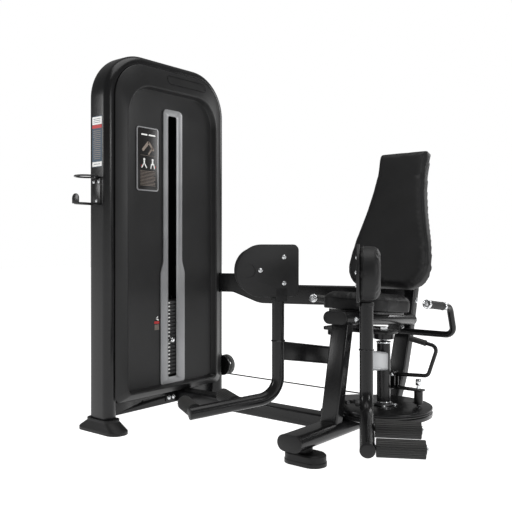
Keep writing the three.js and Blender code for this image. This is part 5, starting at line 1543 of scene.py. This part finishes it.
plate_low = 0.4116
board = slab("bearing_board", 0.290, 0.084, 0.020, 0.012, (0, pivot_y, plate_low), X, Y, edge=0.0012)
block = slab("bearing_block", 0.068, 0.072, 0.003, 0.049, (0, pivot_y, 0.416), X, Y, edge=0.001)
carve(block,
      bent_tube("cutter", with_room(rail_tube, 0.0003), [rail_front, rail_front + rail_way * 0.55], X))
housings = []
for side in (-1, 1):
    housings.append(turned("bearing_housing",
                           [(0.0128, 0.392), (0.0360, 0.392), (0.0375, 0.3935), (0.0375, 0.4118),
                            (0.0128, 0.4118), (0.0128, 0.392)],
                           (side * pivot_x, pivot_y, 0), Z, 48, bored=True))
board = one_piece("bearing_board", board, block, *housings)
bpy.ops.object.shade_smooth_by_angle(angle=math.radians(40))
fit(board, powder_coat, "frame", "powder_black", "top_bearing_plate")
nuts = []
for side in (-1, 1):
    nuts.append(turned("seal",
                       [(0.0250, 0.3905), (0.0300, 0.3905), (0.0305, 0.3921), (0.0250, 0.3921),
                        (0.0250, 0.3905)],
                       (side * pivot_x, pivot_y, 0), Z, 48, bored=True))
    nuts.append(turned("washer", [(0.0100, 0.4234), (0.0200, 0.4238), (0.0200, 0.4256), (0.0140, 0.4260)],
                       (side * pivot_x, pivot_y, 0), Z, 36))
    nuts.append(turned("nut", [(0.0135, 0.4256), (0.0145, 0.4266), (0.0145, 0.4346), (0.0130, 0.4360)],
                       (side * pivot_x, pivot_y, 0), Z, 6))
fit(one_piece("bearing_nuts", *nuts), bright_zinc, "frame", "chrome")

# ---- range plunger and lever --------------------------------------------------------------------
# A chromed pin drops into a hole of the cam. The bent lever beside the seat lifts it.

plunger = turned("plunger_pin",
                 [(0.0058, 0.140), (0.0070, 0.1425), (0.0070, 0.2262), (0.0100, 0.2264), (0.0110, 0.2276),
                  (0.0110, 0.2450),
                                 (0.0098, 0.2474), (0.0060, 0.2480)], plunger_foot, Z, 40)
fit(plunger, chrome, "range_plunger", "chrome", "range_plunger")

lever_route = [Vector(lever_hub), Vector((0.249, 0.413, 0.264)), Vector((0.286, 0.413, 0.372)),
               Vector((0.181, 0.413, 0.393))]
lever = bent_tube("lever_rod", (0.014, 0.014, 0.007), lever_route, Y, bend=0.020, steps=10)
hub = turned("hub", [(0.0090, -0.0110), (0.0100, -0.0100), (0.0100, 0.0100), (0.0090, 0.0110)],
             lever_route[0], Y, 36)
pin = turned("pin", [(0.0036, -0.0200), (0.0040, -0.0194), (0.0040, 0.0194), (0.0036, 0.0200)],
             lever_route[0], Y, 24)
lever = one_piece("lever_rod", lever, hub, pin)
bpy.ops.object.shade_smooth_by_angle(angle=math.radians(40))
fit(lever, powder_coat, "range_lever", "powder_black", "range_lever")
lever_way = (lever_route[2] - lever_route[3]).normalized()
grip = turned("lever_sleeve",
              [(0.0040, -0.0040), (0.0085, -0.0036), (0.0105, -0.0020), (0.0110, 0.0005), (0.0104, 0.0060),
               (0.0104, 0.0540),
                               (0.0110, 0.0570), (0.0110, 0.0600), (0.0100, 0.0620), (0.0072, 0.0620)],
              lever_route[3], lever_way, 32)
fit(grip, soft_rubber, "range_lever", "rubber", "range_lever_grip")
bolts("lever_bolt", "range_lever", [(lever_route[0] - Y * 0.0198, -Y)], 0.9)

# Two bolts hold the handlebar saddle on the rail.
bolts("saddle_bolts", "frame", [((0.0285, 0.645, 0.401), X), ((-0.0285, 0.645, 0.401), -X)], 0.9)

# The pattern bolt has done its work.
bpy.data.objects.remove(bolt)
